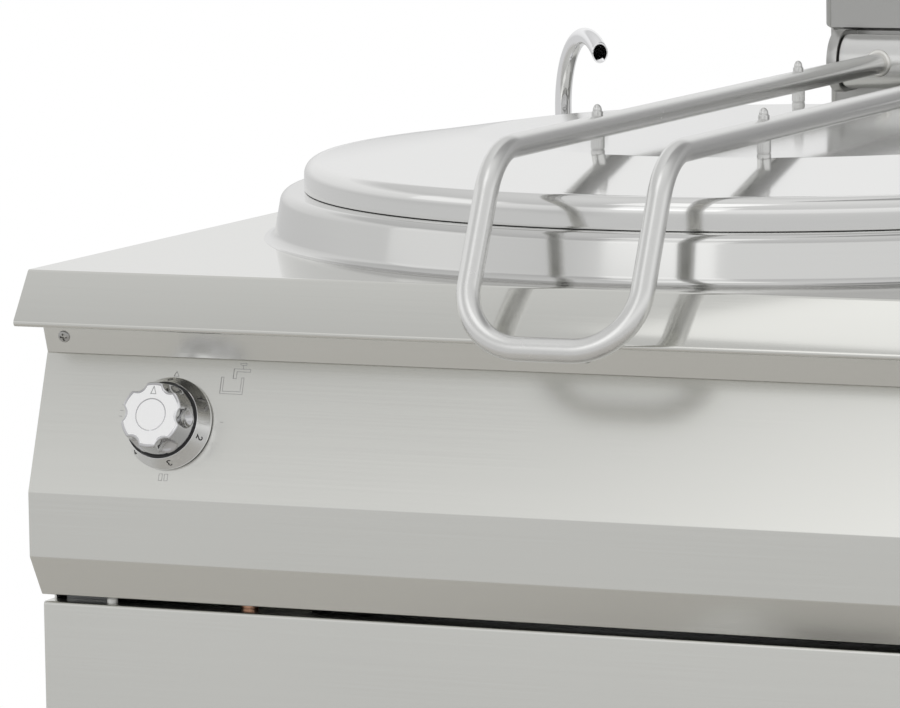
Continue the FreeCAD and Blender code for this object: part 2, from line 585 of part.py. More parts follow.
# Ball tap: body, ball, stem, lever with a sleeve, and an outlet that turns down.
BALL_Y = YF - 46.0
BORE_R = 19.0
body_profile = [(0, 0), (33, 0), (33, 12), (29, 16), (34, 26), (35, 42), (34, 58), (28, 66)]
body_profile = body_profile + [(28, 76), (0, 76)]
body = along_drain(body_profile, YF - 4)
body = body.fuse(rod(12, 46, V(0, BALL_Y, DRAIN_Z), V(0, 0, 1)))
body = body.cut(rod(DRAIN_R + GAP, 10, V(0, YF - 14, DRAIN_Z), V(0, 1, 0)))
body = body.cut(rod(BORE_R, 90, V(0, YF - 90, DRAIN_Z), V(0, 1, 0)))
body = body.cut(Part.makeSphere(BALL_R + 0.05, V(0, BALL_Y, DRAIN_Z)))
body = body.cut(rod(STEM_R + RUN_FIT, 60, V(0, BALL_Y, DRAIN_Z), V(0, 0, 1)))
body = body.cut(rod(22 + 0.05, 8, V(0, YF - 80, DRAIN_Z), V(0, 1, 0)))
save(body, "drain_valve_body")
ball = Part.makeSphere(BALL_R, V(0, BALL_Y, DRAIN_Z))
ball = ball.cut(rod(BORE_R, 60, V(-30, BALL_Y, DRAIN_Z), V(1, 0, 0)))
ball = ball.cut(rod(STEM_R, 20, V(0, BALL_Y, DRAIN_Z + BALL_R - 4), V(0, 0, 1)))
ball = ball.cut(rod(STEM_R, 4, V(0, BALL_Y, DRAIN_Z + BALL_R - 4), V(0, 0, 1)))
save(ball, "drain_ball")
stem = rod(STEM_R, 42, V(0, BALL_Y, DRAIN_Z + BALL_R - 4), V(0, 0, 1))
save(stem, "valve_stem")
lever_z = DRAIN_Z + 46.2
hub = rod(11, 5, V(0, BALL_Y, lever_z), V(0, 0, 1))
lever_line = [(0, lever_z), (34, lever_z), (52, lever_z + 14), (142, lever_z + 14)]
lever = face([V(x, BALL_Y - 8, z) for x, z in band(lever_line, -4.0)]).extrude(V(0, 16, 0))
lever = lever.fuse(hub).cut(rod(STEM_R, 20, V(0, BALL_Y, lever_z - 5), V(0, 0, 1)))
lever = lever.removeSplitter()
save(lever, "valve_lever")
sleeve = box(66, 146, BALL_Y - 11, BALL_Y + 11, lever_z + 11, lever_z + 21)
sleeve = sleeve.makeFillet(4, [e for e in sleeve.Edges if e.Length > 50])
sleeve = sleeve.cut(box(66, 142, BALL_Y - 8, BALL_Y + 8, lever_z + 14, lever_z + 18))
save(sleeve, "lever_sleeve")
nut = rod(8.5, 6, V(0, BALL_Y, lever_z + 5), V(0, 0, 1))
nut = nut.common(box(-7.4, 7.4, BALL_Y - 9, BALL_Y + 9, lever_z, lever_z + 20))
save(nut.cut(rod(STEM_R, 20, V(0, BALL_Y, lever_z), V(0, 0, 1))), "lever_nut")
OUT_R = 22.0
out_y = YF - TAP_OUT + OUT_R
outlet = pipe([V(0, YF - 72, DRAIN_Z), V(0, out_y, DRAIN_Z), V(0, out_y, DRAIN_Z - 62)], [26.0], OUT_R, 3.0)
save(outlet, "drain_outlet")

# Lid: one pressed sheet with a rolled rim, a shallow cone and a flat middle.
seat_z = COLLAR_H + GAP
shoulder = COLLAR_H + LID_SHOULDER
crown = COLLAR_H + LID_CROWN
lid_line = [(LID_R - 18, seat_z), (LID_R - 4, seat_z), (LID_R - 1.2, seat_z + 1.1), (LID_R, seat_z + 3.8)]
lid_line = lid_line + [(LID_R, shoulder - 10.5), (LID_R - 1.0, shoulder - 6.6)]
lid_line = lid_line + [(LID_R - 3.6, shoulder - 3.4), (LID_R - 7.4, shoulder - 1.2), (LID_R - 12, shoulder)]
lid_line = lid_line + [(CREASE_R + 2, crown - 0.5), (CREASE_R - 2, crown), (0, crown)]
lid = turned(band(lid_line, -LID_T), 0, BOWL_Y, TOP)
stud_spots = [(sx * ARM_X, BOWL_Y + sy * STUD_Y) for sx in (-1, 1) for sy in (-1, 1)]
for sx, sy in stud_spots:
    lid = lid.cut(rod(STUD_R + 0.2, 30, V(sx, sy, TOP + crown - 15), V(0, 0, 1)))
save(lid, "lid")

# Four studs hold the handle off the lid: a welded disc, a spacer bush and a domed nut each.
studs = []
spacers = []
nuts = []
lid_under = TOP + crown - LID_T
NUT_TOP = ARM_Z + 15.5
for sx, sy in stud_spots:
    stud = rod(STUD_R, NUT_TOP - 4 - lid_under, V(sx, sy, lid_under), V(0, 0, 1))
    studs.append(stud.fuse(rod(6, 2, V(sx, sy, lid_under - 2), V(0, 0, 1))))
    across = rod(TUBE_R, 40, V(sx, sy - 20, ARM_Z), V(0, 1, 0))
    spacer = tube(SPACER_R, STUD_R + 0.2, ARM_Z - 5 - TOP - crown, V(sx, sy, TOP + crown), V(0, 0, 1))
    spacers.append(spacer.cut(across))
    hexagon = []
    for k in range(6):
        a = math.radians(60 * k)
        hexagon.append(V(sx + NUT_R * math.cos(a), sy + NUT_R * math.sin(a), ARM_Z + 6))
    nut = face(hexagon).extrude(V(0, 0, 5.6))
    dome = turned([(0, 0), (3.9, 0), (3.8, 1.4), (3.1, 2.8), (1.7, 3.7), (0, 3.9)], sx, sy, ARM_Z + 11.6)
    nut = nut.fuse(dome).cut(across)
    nuts.append(nut.cut(rod(STUD_R, NUT_TOP - 4 - ARM_Z, V(sx, sy, ARM_Z), V(0, 0, 1))))
save(group(studs), "lid_studs")
save(group(spacers), "stud_spacers")
save(group(nuts), "domed_nuts")

# Handle tube: arms along the lid, a drop that slopes out past the worktop nose and a cross grip.
handle_path = [V(-ARM_X, HINGE_Y - 12, ARM_Z), V(-ARM_X, DROP_TOP_Y, ARM_Z), V(-ARM_X, DROP_Y, GRIP_Z),
               V(ARM_X, DROP_Y, GRIP_Z), V(ARM_X, DROP_TOP_Y, ARM_Z), V(ARM_X, HINGE_Y - 12, ARM_Z)]
handle = pipe(handle_path, [BEND_R, GRIP_BEND_R, GRIP_BEND_R, BEND_R], TUBE_R, 1.5)
for sx, sy in stud_spots:
    handle = handle.cut(rod(STUD_R + 0.2, 30, V(sx, sy, ARM_Z - 15), V(0, 0, 1)))
barrel_half = COLUMN_HALF - CHEEK_IN - CHEEK_T - 1.0
solid_barrel = rod(BARREL_R, 2 * barrel_half, V(-barrel_half, HINGE_Y, HINGE_Z), V(1, 0, 0))
save(handle.cut(solid_barrel), "lid_handle")

# Hinge barrel with a bush in each end turns on a fixed axle; two wound springs carry the lid.
BARREL_T = 2.5
barrel_in = BARREL_R - BARREL_T
barrel = tube(BARREL_R, barrel_in, 2 * barrel_half, V(-barrel_half, HINGE_Y, HINGE_Z), V(1, 0, 0))
save(barrel, "hinge_barrel")
bushes = []
springs = []
for sx in (-1, 1):
    x_in = sx * barrel_half if sx < 0 else barrel_half - 12
    bushes.append(tube(barrel_in, AXLE_R + RUN_FIT, 12, V(x_in, HINGE_Y, HINGE_Z), V(1, 0, 0)))
save(group(bushes), "barrel_bushes")
axle_half = COLUMN_HALF - CHEEK_IN - 1.0
axle = rod(AXLE_R, 2 * axle_half, V(-axle_half, HINGE_Y, HINGE_Z), V(1, 0, 0))
save(axle, "hinge_axle")
for x0 in (14.6 - barrel_half, barrel_half - 14.6 - 63.0):
    helix = Part.makeHelix(9.0, 63.0, 12.0)
    corners = [V(10.4, 0, -1.6), V(13.6, 0, -1.6), V(13.6, 0, 1.6), V(10.4, 0, 1.6)]
    section = Part.makePolygon(corners + [corners[0]])
    coil = Part.Wire(helix.Edges).makePipeShell([section], True, True)
    coil.rotate(V(0, 0, 0), V(0, 1, 0), 90)
    coil = coil.fuse(box(-1.6, 1.6, -1.6, 1.6, AXLE_R, 13.6).rotate(V(0, 0, 0), V(1, 0, 0), 180))
    coil.translate(V(x0, HINGE_Y, HINGE_Z))
    springs.append(coil)
save(group(springs), "torsion_springs")

# Hinge column: a sheet box with two round-nosed cheeks welded to its front.
col_pts = [(COLUMN_FRONT, TOP), (COLUMN_FRONT, TOP + 110), (COLUMN_FRONT - 11, TOP + 113),
           (COLUMN_FRONT - 11, COLUMN_TOP), (COLUMN_BACK, COLUMN_TOP), (COLUMN_BACK, TOP)]
column = face([V(-COLUMN_HALF, y, z) for y, z in col_pts]).extrude(V(2 * COLUMN_HALF, 0, 0))
column = round_front(column, COLUMN_EDGE_R)
col_in = [(COLUMN_FRONT + SHEET, TOP - 1), (COLUMN_FRONT + SHEET, TOP + 111.5)]
col_in = col_in + [(COLUMN_FRONT - 9, TOP + 114.5), (COLUMN_FRONT - 9, COLUMN_TOP + 1)]
col_in = col_in + [(COLUMN_BACK - SHEET, COLUMN_TOP + 1), (COLUMN_BACK - SHEET, TOP - 1)]
hollow = face([V(-COLUMN_HALF + SHEET, y, z) for y, z in col_in]).extrude(V(2 * (COLUMN_HALF - SHEET), 0, 0))
column = column.cut(round_front(hollow, COLUMN_EDGE_R - SHEET))
NOSE_R = BARREL_R + 3.0
for sx in (-1, 1):
    x0 = CHEEK_IN - COLUMN_HALF if sx < 0 else COLUMN_HALF - CHEEK_IN - CHEEK_T
    nose_disc = rod(NOSE_R, CHEEK_T, V(x0, HINGE_Y, HINGE_Z), V(1, 0, 0))
    web = box(x0, x0 + CHEEK_T, HINGE_Y, COLUMN_FRONT + 1, HINGE_Z - NOSE_R, HINGE_Z + NOSE_R)
    column = column.fuse(nose_disc).fuse(web)
column = column.cut(rod(AXLE_R, 2 * axle_half, V(-axle_half, HINGE_Y, HINGE_Z), V(1, 0, 0)))
cap = box(-COLUMN_HALF - 1.5, COLUMN_HALF + 1.5, COLUMN_FRONT - 12.5, COLUMN_BACK + 1.5, COLUMN_TOP - 8,
          COLUMN_TOP + 1.5)
cap = cap.makeFillet(1.2, [e for e in cap.Edges if e.BoundBox.ZMin > COLUMN_TOP + 1])
cap = cap.cut(box(-COLUMN_HALF, COLUMN_HALF, COLUMN_FRONT - 11, COLUMN_BACK, COLUMN_TOP - 9, COLUMN_TOP))
column = column.fuse(cap).removeSplitter()
save(column, "hinge_column")

# Filling spout: a tube bent over to a mouth cut upright; it swivels in a ferrule held by a nut.
turn = math.radians(SPOUT_TURN)
ahead = V(math.cos(turn), math.sin(turn), 0)
foot = V(SPOUT_X, SPOUT_Y, TOP - 44)
half_turn = math.radians(SPOUT_SWEEP / 2.0)
step = SPOUT_BEND * math.tan(half_turn / 2.0)
lead = V(SPOUT_X, SPOUT_Y, TOP + SPOUT_RISE + step)
over = lead + (ahead * math.sin(half_turn) + V(0, 0, math.cos(half_turn))) * (2.0 * step + 1.0)
down = ahead * math.sin(2.0 * half_turn) + V(0, 0, math.cos(2.0 * half_turn))
spout = pipe([foot, lead, over, over + down * (step + 12.0)], [SPOUT_BEND, SPOUT_BEND], SPOUT_R, SPOUT_T)
reach = SPOUT_BEND * (1.0 - math.cos(2.0 * half_turn))
beyond = box(reach, reach + 40, -30, 30, 0, 200)
beyond.rotate(V(0, 0, 0), V(0, 0, 1), SPOUT_TURN)
beyond.translate(V(SPOUT_X, SPOUT_Y, TOP))
spout = spout.cut(beyond)
spout = spout.fuse(tube(9.5, SPOUT_R - 0.5, 4, V(SPOUT_X, SPOUT_Y, TOP + 22), V(0, 0, 1)))
save(spout, "fill_spout")
ferrule_profile = [(SPOUT_R + RUN_FIT, -24), (10.5, -24), (10.5, 0), (18, 0), (18, 2), (16, 4), (12, 6)]
ferrule_profile = ferrule_profile + [(11, 10), (11, 20), (10, 22), (SPOUT_R + RUN_FIT, 22)]
ferrule = turned(ferrule_profile, SPOUT_X, SPOUT_Y, TOP)
save(ferrule, "spout_ferrule")
hexa = []
for k in range(6):
    a = math.radians(60 * k)
    hexa.append(V(SPOUT_X + 17 * math.cos(a), SPOUT_Y + 17 * math.sin(a), TOP - SHEET - 8))
spout_nut = face(hexa).extrude(V(0, 0, 8)).cut(rod(10.5, 20, V(SPOUT_X, SPOUT_Y, TOP - 14), V(0, 0, 1)))
save(spout_nut, "spout_nut")
union_profile = [(SPOUT_R + RUN_FIT, -34), (11, -34), (11, -56), (4.5, -56), (4.5, -44.1)]
union = turned(union_profile + [(SPOUT_R + RUN_FIT, -44.1)], SPOUT_X, SPOUT_Y, TOP)

# Water pipes: valve to spout down the left side, and rear inlet to valve under the vessel.
port = knob_seats["fill"] - KNOB_AXIS * 24
side_run = -(X_BODY - 49.0)
spout_route = [V(port.x - 30, port.y, port.z), V(side_run, port.y, port.z), V(side_run, SPOUT_Y, port.z)]
spout_route = spout_route + [V(SPOUT_X, SPOUT_Y, port.z), V(SPOUT_X, SPOUT_Y, TOP - 56)]
spout_pipe = pipe(spout_route, [12.0, 14.0, 14.0, 14.0], 5.8, 1.0)
save(spout_pipe.fuse(union), "spout_pipe")
supply = pipe([V(port.x + 30, port.y, port.z), V(INLET_X, port.y, port.z), V(INLET_X, port.y, INLET_Z),
               V(INLET_X, Y_BACK - 24, INLET_Z)], [12.0, 30.0], 5.8, 1.0)
save(supply, "supply_pipe")
REAR_IN = Y_BACK - 3.8
REAR_OUT = REAR_IN + SKIN


def hex_ring(across, inner, y0, length, x):
    """Hexagonal ring on the rear cover, its axis along Y."""
    angles = [math.radians(60 * k) for k in range(6)]
    pts = [V(x + across * math.cos(a), y0, INLET_Z + across * math.sin(a)) for a in angles]
    return face(pts).extrude(V(0, length, 0)).cut(rod(inner, length, V(x, y0, INLET_Z), V(0, 1, 0)))


inlet = tube(INLET_R, 7, 24 + INLET_OUT, V(INLET_X, Y_BACK - 24, INLET_Z), V(0, 1, 0))
inlet = inlet.fuse(hex_ring(17, 10, REAR_IN - 7, 7, INLET_X))
save(inlet, "water_inlet")
lock_nuts = [hex_ring(17, INLET_R, REAR_OUT, 6, INLET_X), hex_ring(18, GLAND_R, REAR_IN - 6, 6, GLAND_X)]
save(group(lock_nuts), "rear_lock_nuts")
gland = tube(GLAND_R, 6, 38, V(GLAND_X, REAR_IN - 16, INLET_Z), V(0, 1, 0))
gland = gland.fuse(hex_ring(18, 12, REAR_OUT, 6, GLAND_X))
gland = gland.fuse(tube(15.5, 6, 8, V(GLAND_X, REAR_OUT + 10, INLET_Z), V(0, 1, 0)))
save(gland, "cable_gland")

# Electrical plate with a contactor, a limit thermostat and a terminal block.
plate_y = Y_BACK - 64.0
plate_x = X_BODY - 285.0
PLATE_W = 220.0
plate_line = [(plate_y - 34, Z_BASE + 3), (plate_y, Z_BASE + 3), (plate_y, Z_BASE + 260)]
plate = bent_sheet(plate_line, -SHEET, plate_x, plate_x + PLATE_W)
save(plate, "electrics_plate")
face_y = plate_y - SHEET
contactor = box(plate_x + 20, plate_x + 80, face_y - 62, face_y, Z_BASE + 130, Z_BASE + 215)
stand = box(plate_x + 26, plate_x + 74, face_y - 74, face_y - 62, Z_BASE + 148, Z_BASE + 197)
contactor = contactor.fuse(stand)
save(contactor, "contactor")
limiter = box(plate_x + 100, plate_x + 140, face_y - 30, face_y, Z_BASE + 150, Z_BASE + 200)
limiter = limiter.fuse(rod(9, 10, V(plate_x + 120, face_y - 40, Z_BASE + 175), V(0, 1, 0)))
save(limiter, "limit_thermostat")
block = box(plate_x + 120, plate_x + 210, face_y - 34, face_y, Z_BASE + 70, Z_BASE + 108)
for k in range(5):
    block = block.cut(rod(4, 12, V(plate_x + 133 + 16 * k, face_y - 35, Z_BASE + 89), V(0, 1, 0)))
save(block, "terminal_block")
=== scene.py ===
import json
import math

import bmesh
import bpy
import numpy as np
from mathutils import Matrix, Vector


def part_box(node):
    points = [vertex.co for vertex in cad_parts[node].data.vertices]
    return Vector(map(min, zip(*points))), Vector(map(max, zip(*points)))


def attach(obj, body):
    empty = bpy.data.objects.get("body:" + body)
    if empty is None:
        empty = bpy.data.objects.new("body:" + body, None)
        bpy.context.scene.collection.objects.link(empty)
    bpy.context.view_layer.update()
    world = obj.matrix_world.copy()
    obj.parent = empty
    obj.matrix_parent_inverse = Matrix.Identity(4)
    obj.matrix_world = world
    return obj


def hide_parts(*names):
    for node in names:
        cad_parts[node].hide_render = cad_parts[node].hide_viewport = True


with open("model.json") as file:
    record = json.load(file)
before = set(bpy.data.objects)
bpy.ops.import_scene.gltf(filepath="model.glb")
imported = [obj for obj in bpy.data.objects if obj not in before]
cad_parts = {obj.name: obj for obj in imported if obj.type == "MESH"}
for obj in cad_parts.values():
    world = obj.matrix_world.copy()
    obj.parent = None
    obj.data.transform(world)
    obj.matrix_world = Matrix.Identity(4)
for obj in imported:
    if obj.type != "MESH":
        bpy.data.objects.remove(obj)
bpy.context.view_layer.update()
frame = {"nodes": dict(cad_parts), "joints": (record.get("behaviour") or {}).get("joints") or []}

nodes = frame["nodes"]

# Camera. It stands low in front and to the right of the kettle, far away behind a long lens,
# and frames only the upper front left part of the cabinet, as a catalogue close view does.
CAMERA_PLACE = Vector((1.3763, -3.7872, 1.2693))
CAMERA_TURN = math.radians(23.43)
CAMERA_TILT = math.radians(7.186)
CAMERA_ROLL = math.radians(-0.811)
FRAME_PIXELS = 900
FOCAL_PIXELS = 5692.6

camera_data = bpy.data.cameras.new("camera")
camera_data.sensor_width = 36.0
camera_data.lens = FOCAL_PIXELS / FRAME_PIXELS * camera_data.sensor_width
camera_data.clip_end = 60.0
camera = bpy.data.objects.new("camera", camera_data)
bpy.context.collection.objects.link(camera)
backward = Vector((
    math.sin(CAMERA_TURN) * math.cos(CAMERA_TILT),
    -math.cos(CAMERA_TURN) * math.cos(CAMERA_TILT),
    math.sin(CAMERA_TILT),
))
level_right = Vector((math.cos(CAMERA_TURN), math.sin(CAMERA_TURN), 0.0))
level_up = backward.cross(level_right)
right = level_right * math.cos(CAMERA_ROLL) + level_up * math.sin(CAMERA_ROLL)
up = level_up * math.cos(CAMERA_ROLL) - level_right * math.sin(CAMERA_ROLL)
turn = Matrix((right, up, backward)).transposed().to_4x4()
camera.matrix_world = Matrix.Translation(CAMERA_PLACE) @ turn
bpy.context.scene.camera = camera
bpy.context.scene.view_settings.view_transform = "Standard"

# Studio. A pale floor that fades into a white background, a bright world for the steel to
# mirror, dimmer low down and behind on the right, and three soft lamps.
FLOOR_HALF = 14.0
FLOOR_COLOUR = (0.70, 0.68, 0.65, 1.0)
FLOOR_GLOW = 0.68
FLOOR_FADE_START = 1.2
FLOOR_FADE_END = 2.4
SKY_LOWEST = -0.25
SKY_TONES = ((0.0, 0.42), (0.19, 0.74), (0.29, 0.9), (0.42, 0.96),
             (0.52, 1.0), (0.63, 0.72), (0.86, 0.80), (1.0, 0.9))
SKY_SHADES = ((0.0, 1.0), (0.36, 0.9), (0.42, 0.84),
              (0.45, 1.0), (0.76, 1.0), (0.88, 0.5), (0.96, 0.4), (1.0, 1.0))


def feed(tree, value, socket):
    """Links a node's input to another node's output, or sets it to a plain value."""
    if isinstance(value, bpy.types.NodeSocket):
        tree.links.new(value, socket)
    else:
        socket.default_value = value


def vector_step(tree, operation, first, second=(0.0, 0.0, 0.0)):
    """One vector sum; each side is a socket or a plain vector or number."""
    step = tree.nodes.new("ShaderNodeVectorMath")
    step.operation = operation
    feed(tree, first, step.inputs[0])
    feed(tree, second, step.inputs["Scale"] if operation == "SCALE" else step.inputs[1])
    return step.outputs["Value" if operation == "LENGTH" else "Vector"]


def number_step(tree, operation, *values):
    """One number sum."""
    step = tree.nodes.new("ShaderNodeMath")
    step.operation = operation
    for socket, value in zip(step.inputs, values):
        feed(tree, value, socket)
    return step.outputs[0]


def range_step(tree, value, start=0.0, end=1.0, least=0.0, kind="LINEAR"):
    """A value between start and end, brought to between least and one."""
    step = tree.nodes.new("ShaderNodeMapRange")
    step.interpolation_type = kind
    for label, number in (("Value", value), ("From Min", start), ("From Max", end), ("To Min", least)):
        feed(tree, number, step.inputs[label])
    return step.outputs["Result"]


def grey_step(tree, value, tones):
    """Grey ramp with a stop at each (place, brightness)."""
    step = tree.nodes.new("ShaderNodeValToRGB")
    stops = step.color_ramp.elements
    for number, (place, grey) in enumerate(tones):
        last = number == len(tones) - 1
        stop = stops[0] if number == 0 else stops[-1] if last else stops.new(place)
        stop.position = place
        stop.color = (grey, grey, grey, 1.0)
    feed(tree, value, step.inputs["Fac"])
    return step.outputs["Color"]


def mix_step(tree, share, first, second, surface):
    """Two shaders mixed by a share and led to a surface output."""
    step = tree.nodes.new("ShaderNodeMixShader")
    for socket, value in zip(step.inputs, (share, first.outputs[0], second.outputs[0])):
        feed(tree, value, socket)
    feed(tree, step.outputs[0], surface)


world = bpy.data.worlds.new("studio_world")
bpy.context.scene.world = world
world.use_nodes = True
sky = world.node_tree
sky.nodes.clear()
sky_out = sky.nodes.new("ShaderNodeOutputWorld")
lit_sky = sky.nodes.new("ShaderNodeBackground")
seen_sky = sky.nodes.new("ShaderNodeBackground")
seen_sky.inputs["Color"].default_value = (1.0, 1.0, 1.0, 1.0)
sky_axes = sky.nodes.new("ShaderNodeSeparateXYZ")
feed(sky, sky.nodes.new("ShaderNodeTexCoord").outputs["Generated"], sky_axes.inputs[0])
sky_forward = number_step(sky, "MULTIPLY", sky_axes.outputs["Y"], -1.0)
sky_side = number_step(sky, "ARCTAN2", sky_axes.outputs["X"], sky_forward)
sky_height = range_step(sky, sky_axes.outputs["Z"], SKY_LOWEST)
sky_turn = range_step(sky, sky_side, -math.pi, math.pi)
sky_level = sky.nodes.new("ShaderNodeMix")
sky_level.data_type = "RGBA"
sky_level.blend_type = "MULTIPLY"
sky_level.inputs["Factor"].default_value = 1.0
feed(sky, grey_step(sky, sky_height, SKY_TONES), sky_level.inputs["A"])
feed(sky, grey_step(sky, sky_turn, SKY_SHADES), sky_level.inputs["B"])
feed(sky, sky_level.outputs["Result"], lit_sky.inputs["Color"])
sky_path = sky.nodes.new("ShaderNodeLightPath").outputs
sky_seen = number_step(sky, "MAXIMUM", sky_path["Is Camera Ray"], sky_path["Is Transmission Ray"])
mix_step(sky, sky_seen, lit_sky, seen_sky, sky_out.inputs["Surface"])

for name, place, aim, size, power in (
    ("lamp_over", (-0.25, -1.6, 3.2), (0.2, -0.4, 0.85), 1.2, 2.0),
    ("lamp_front", (-0.45, -4.0, 3.0), (0.2, -0.4, 0.75), 2.0, 5.0),
    ("lamp_left", (-3.2, -1.6, 2.2), (0.0, 0.0, 0.8), 1.6, 1.5),
):
    lamp_data = bpy.data.lights.new(name, "AREA")
    lamp_data.size = size
    lamp_data.energy = power
    lamp = bpy.data.objects.new(name, lamp_data)
    bpy.context.collection.objects.link(lamp)
    lamp.location = place
    lamp.rotation_euler = (Vector(aim) - Vector(place)).to_track_quat("-Z", "Y").to_euler()

floor_mesh = bpy.data.meshes.new("floor")
floor_corners = [(-FLOOR_HALF, -FLOOR_HALF, 0), (FLOOR_HALF, -FLOOR_HALF, 0)]
floor_corners += [(FLOOR_HALF, FLOOR_HALF, 0), (-FLOOR_HALF, FLOOR_HALF, 0)]
floor_mesh.from_pydata(floor_corners, [], [(0, 1, 2, 3)])
floor = bpy.data.objects.new("floor", floor_mesh)
bpy.context.collection.objects.link(floor)
floor_look = bpy.data.materials.new("studio_floor")
floor_look.use_nodes = True
tree = floor_look.node_tree
matt = tree.nodes["Principled BSDF"]
matt.inputs["Base Color"].default_value = FLOOR_COLOUR
matt.inputs["Roughness"].default_value = 0.9
glow = tree.nodes.new("ShaderNodeEmission")
floor_seen = tree.nodes.new("ShaderNodeLightPath").outputs["Is Camera Ray"]
feed(tree, range_step(tree, floor_seen, least=FLOOR_GLOW), glow.inputs["Strength"])
away = vector_step(tree, "LENGTH", tree.nodes.new("ShaderNodeTexCoord").outputs["Object"])
fade = range_step(tree, away, FLOOR_FADE_START, FLOOR_FADE_END, kind="SMOOTHSTEP")
mix_step(tree, fade, matt, glow, tree.nodes["Material Output"].inputs["Surface"])
floor_mesh.materials.append(floor_look)

# Base frame and corner posts. Folded channels of zinc-coated steel, spot welded into a ring
# that carries everything else; the posts stand in its corners and hold up the worktop.
ZINC_COLOUR = (0.52, 0.53, 0.54)


def new_group(name, inputs, outputs):
    """Shader node group with named sockets; returns its tree, its input node and its output node."""
    group = bpy.data.node_groups.new(name, "ShaderNodeTree")
    for label, kind, value in inputs:
        socket = group.interface.new_socket(label, in_out="INPUT", socket_type="NodeSocket" + kind)
        socket.default_value = value
    for label, kind in outputs:
        group.interface.new_socket(label, in_out="OUTPUT", socket_type="NodeSocket" + kind)
    return group, group.nodes.new("NodeGroupInput"), group.nodes.new("NodeGroupOutput")


def noise_step(group, place, scale, detail, roughness):
    """Noise value around one half at a place."""
    noise = group.nodes.new("ShaderNodeTexNoise")
    noise.inputs["Scale"].default_value = scale
    noise.inputs["Detail"].default_value = detail
    noise.inputs["Roughness"].default_value = roughness
    group.links.new(place, noise.inputs["Vector"])
    return noise.outputs["Fac"]


def finish_group(name, place_of, inputs):
    """Grain group: fine noise and broad clouds vary a colour and a roughness; the noise is the height."""
    common = [("Color", "Color", (0.7, 0.7, 0.7, 1.0)), ("Contrast", "Float", 0.1)]
    common += [("Roughness", "Float", 0.3), ("Spread", "Float", 0.1), ("Clouds", "Float", 0.06)]
    outputs = [("Color", "Color"), ("Roughness", "Float"), ("Height", "Float")]
    group, given, result = new_group(name, common + inputs, outputs)
    where = group.nodes.new("ShaderNodeTexCoord").outputs["Object"]
    grain = noise_step(group, place_of(group, given, where), 1.0, 3.0, 0.6)
    cloud = noise_step(group, where, 5.0, 3.0, 0.5)
    grain_off = number_step(group, "SUBTRACT", grain, 0.5)
    cloud_off = number_step(group, "SUBTRACT", cloud, 0.5)
    tint = number_step(group, "MULTIPLY_ADD", grain_off, given.outputs["Contrast"], 1.0)
    tint = number_step(group, "MULTIPLY_ADD", cloud_off, given.outputs["Clouds"], tint)
    colour = vector_step(group, "SCALE", given.outputs["Color"], tint)
    rough = given.outputs["Roughness"]
    for off in (grain_off, cloud_off):
        rough = number_step(group, "MULTIPLY_ADD", off, given.outputs["Spread"], rough)
    for label, value in (("Color", colour), ("Roughness", rough), ("Height", grain)):
        feed(group, value, result.inputs[label])
    return group


def even_place(group, given, where):
    """Grain of one size in every direction."""
    return vector_step(group, "SCALE", where, given.outputs["Fineness"])


even_grain = finish_group("even_grain", even_place, [("Fineness", "Float", 600.0)])


def finish(name, grain, colour, metallic, roughness, height=0.00002, **settings):
    """Material: a grain group feeds colour, roughness and a bump on one plain shader."""
    material = bpy.data.materials.new(name)
    material.use_nodes = True
    tree = material.node_tree
    shader = tree.nodes["Principled BSDF"]
    shader.inputs["Metallic"].default_value = metallic
    effect = tree.nodes.new("ShaderNodeGroup")
    effect.node_tree = grain
    effect.inputs["Color"].default_value = (*colour, 1.0)
    effect.inputs["Roughness"].default_value = roughness
    for label, value in settings.items():
        effect.inputs[label.replace("_", " ")].default_value = value
    bump = tree.nodes.new("ShaderNodeBump")
    bump.inputs["Strength"].default_value = 0.5
    bump.inputs["Distance"].default_value = height
    tree.links.new(effect.outputs["Color"], shader.inputs["Base Color"])
    tree.links.new(effect.outputs["Roughness"], shader.inputs["Roughness"])
    tree.links.new(effect.outputs["Height"], bump.inputs["Height"])
    tree.links.new(bump.outputs["Normal"], shader.inputs["Normal"])
    return material


def ease_edges(made, width):
    """Small round on every sharp edge, so that it catches the light as a deburred edge does."""
    ease = made.modifiers.new("ease", "BEVEL")
    ease.width = width
    ease.segments = 2
    ease.limit_method = "ANGLE"
    ease.angle_limit = math.radians(40)
    ease.harden_normals = True


def dress(material, *names, edge=0.0):
    """Gives CAD pieces a material; an edge width also merges their flat faces and eases the edges."""
    for name in names:
        node = nodes[name]
        for holder in node.material_slots:
            holder.material = material
        if edge:
            node.modifiers.new("merge", "WELD").merge_threshold = 0.000005
            flat = node.modifiers.new("flat", "DECIMATE")
            flat.decimate_type = "DISSOLVE"
            flat.angle_limit = math.radians(0.4)
            ease_edges(node, edge)


zinc = finish("zinc_sheet", even_grain, ZINC_COLOUR, 0.75, 0.48, Contrast=0.3, Spread=0.2, Clouds=0.35,
              Fineness=160.0)
dress(zinc, "base_frame", "corner_posts", edge=0.0005)

# Feet. Turned stainless stems screwed up into the frame's sleeves, each with a wide round pad
# and two flats for a spanner, so that the kettle can be levelled.
TURNED_COLOUR = (0.66, 0.66, 0.65)


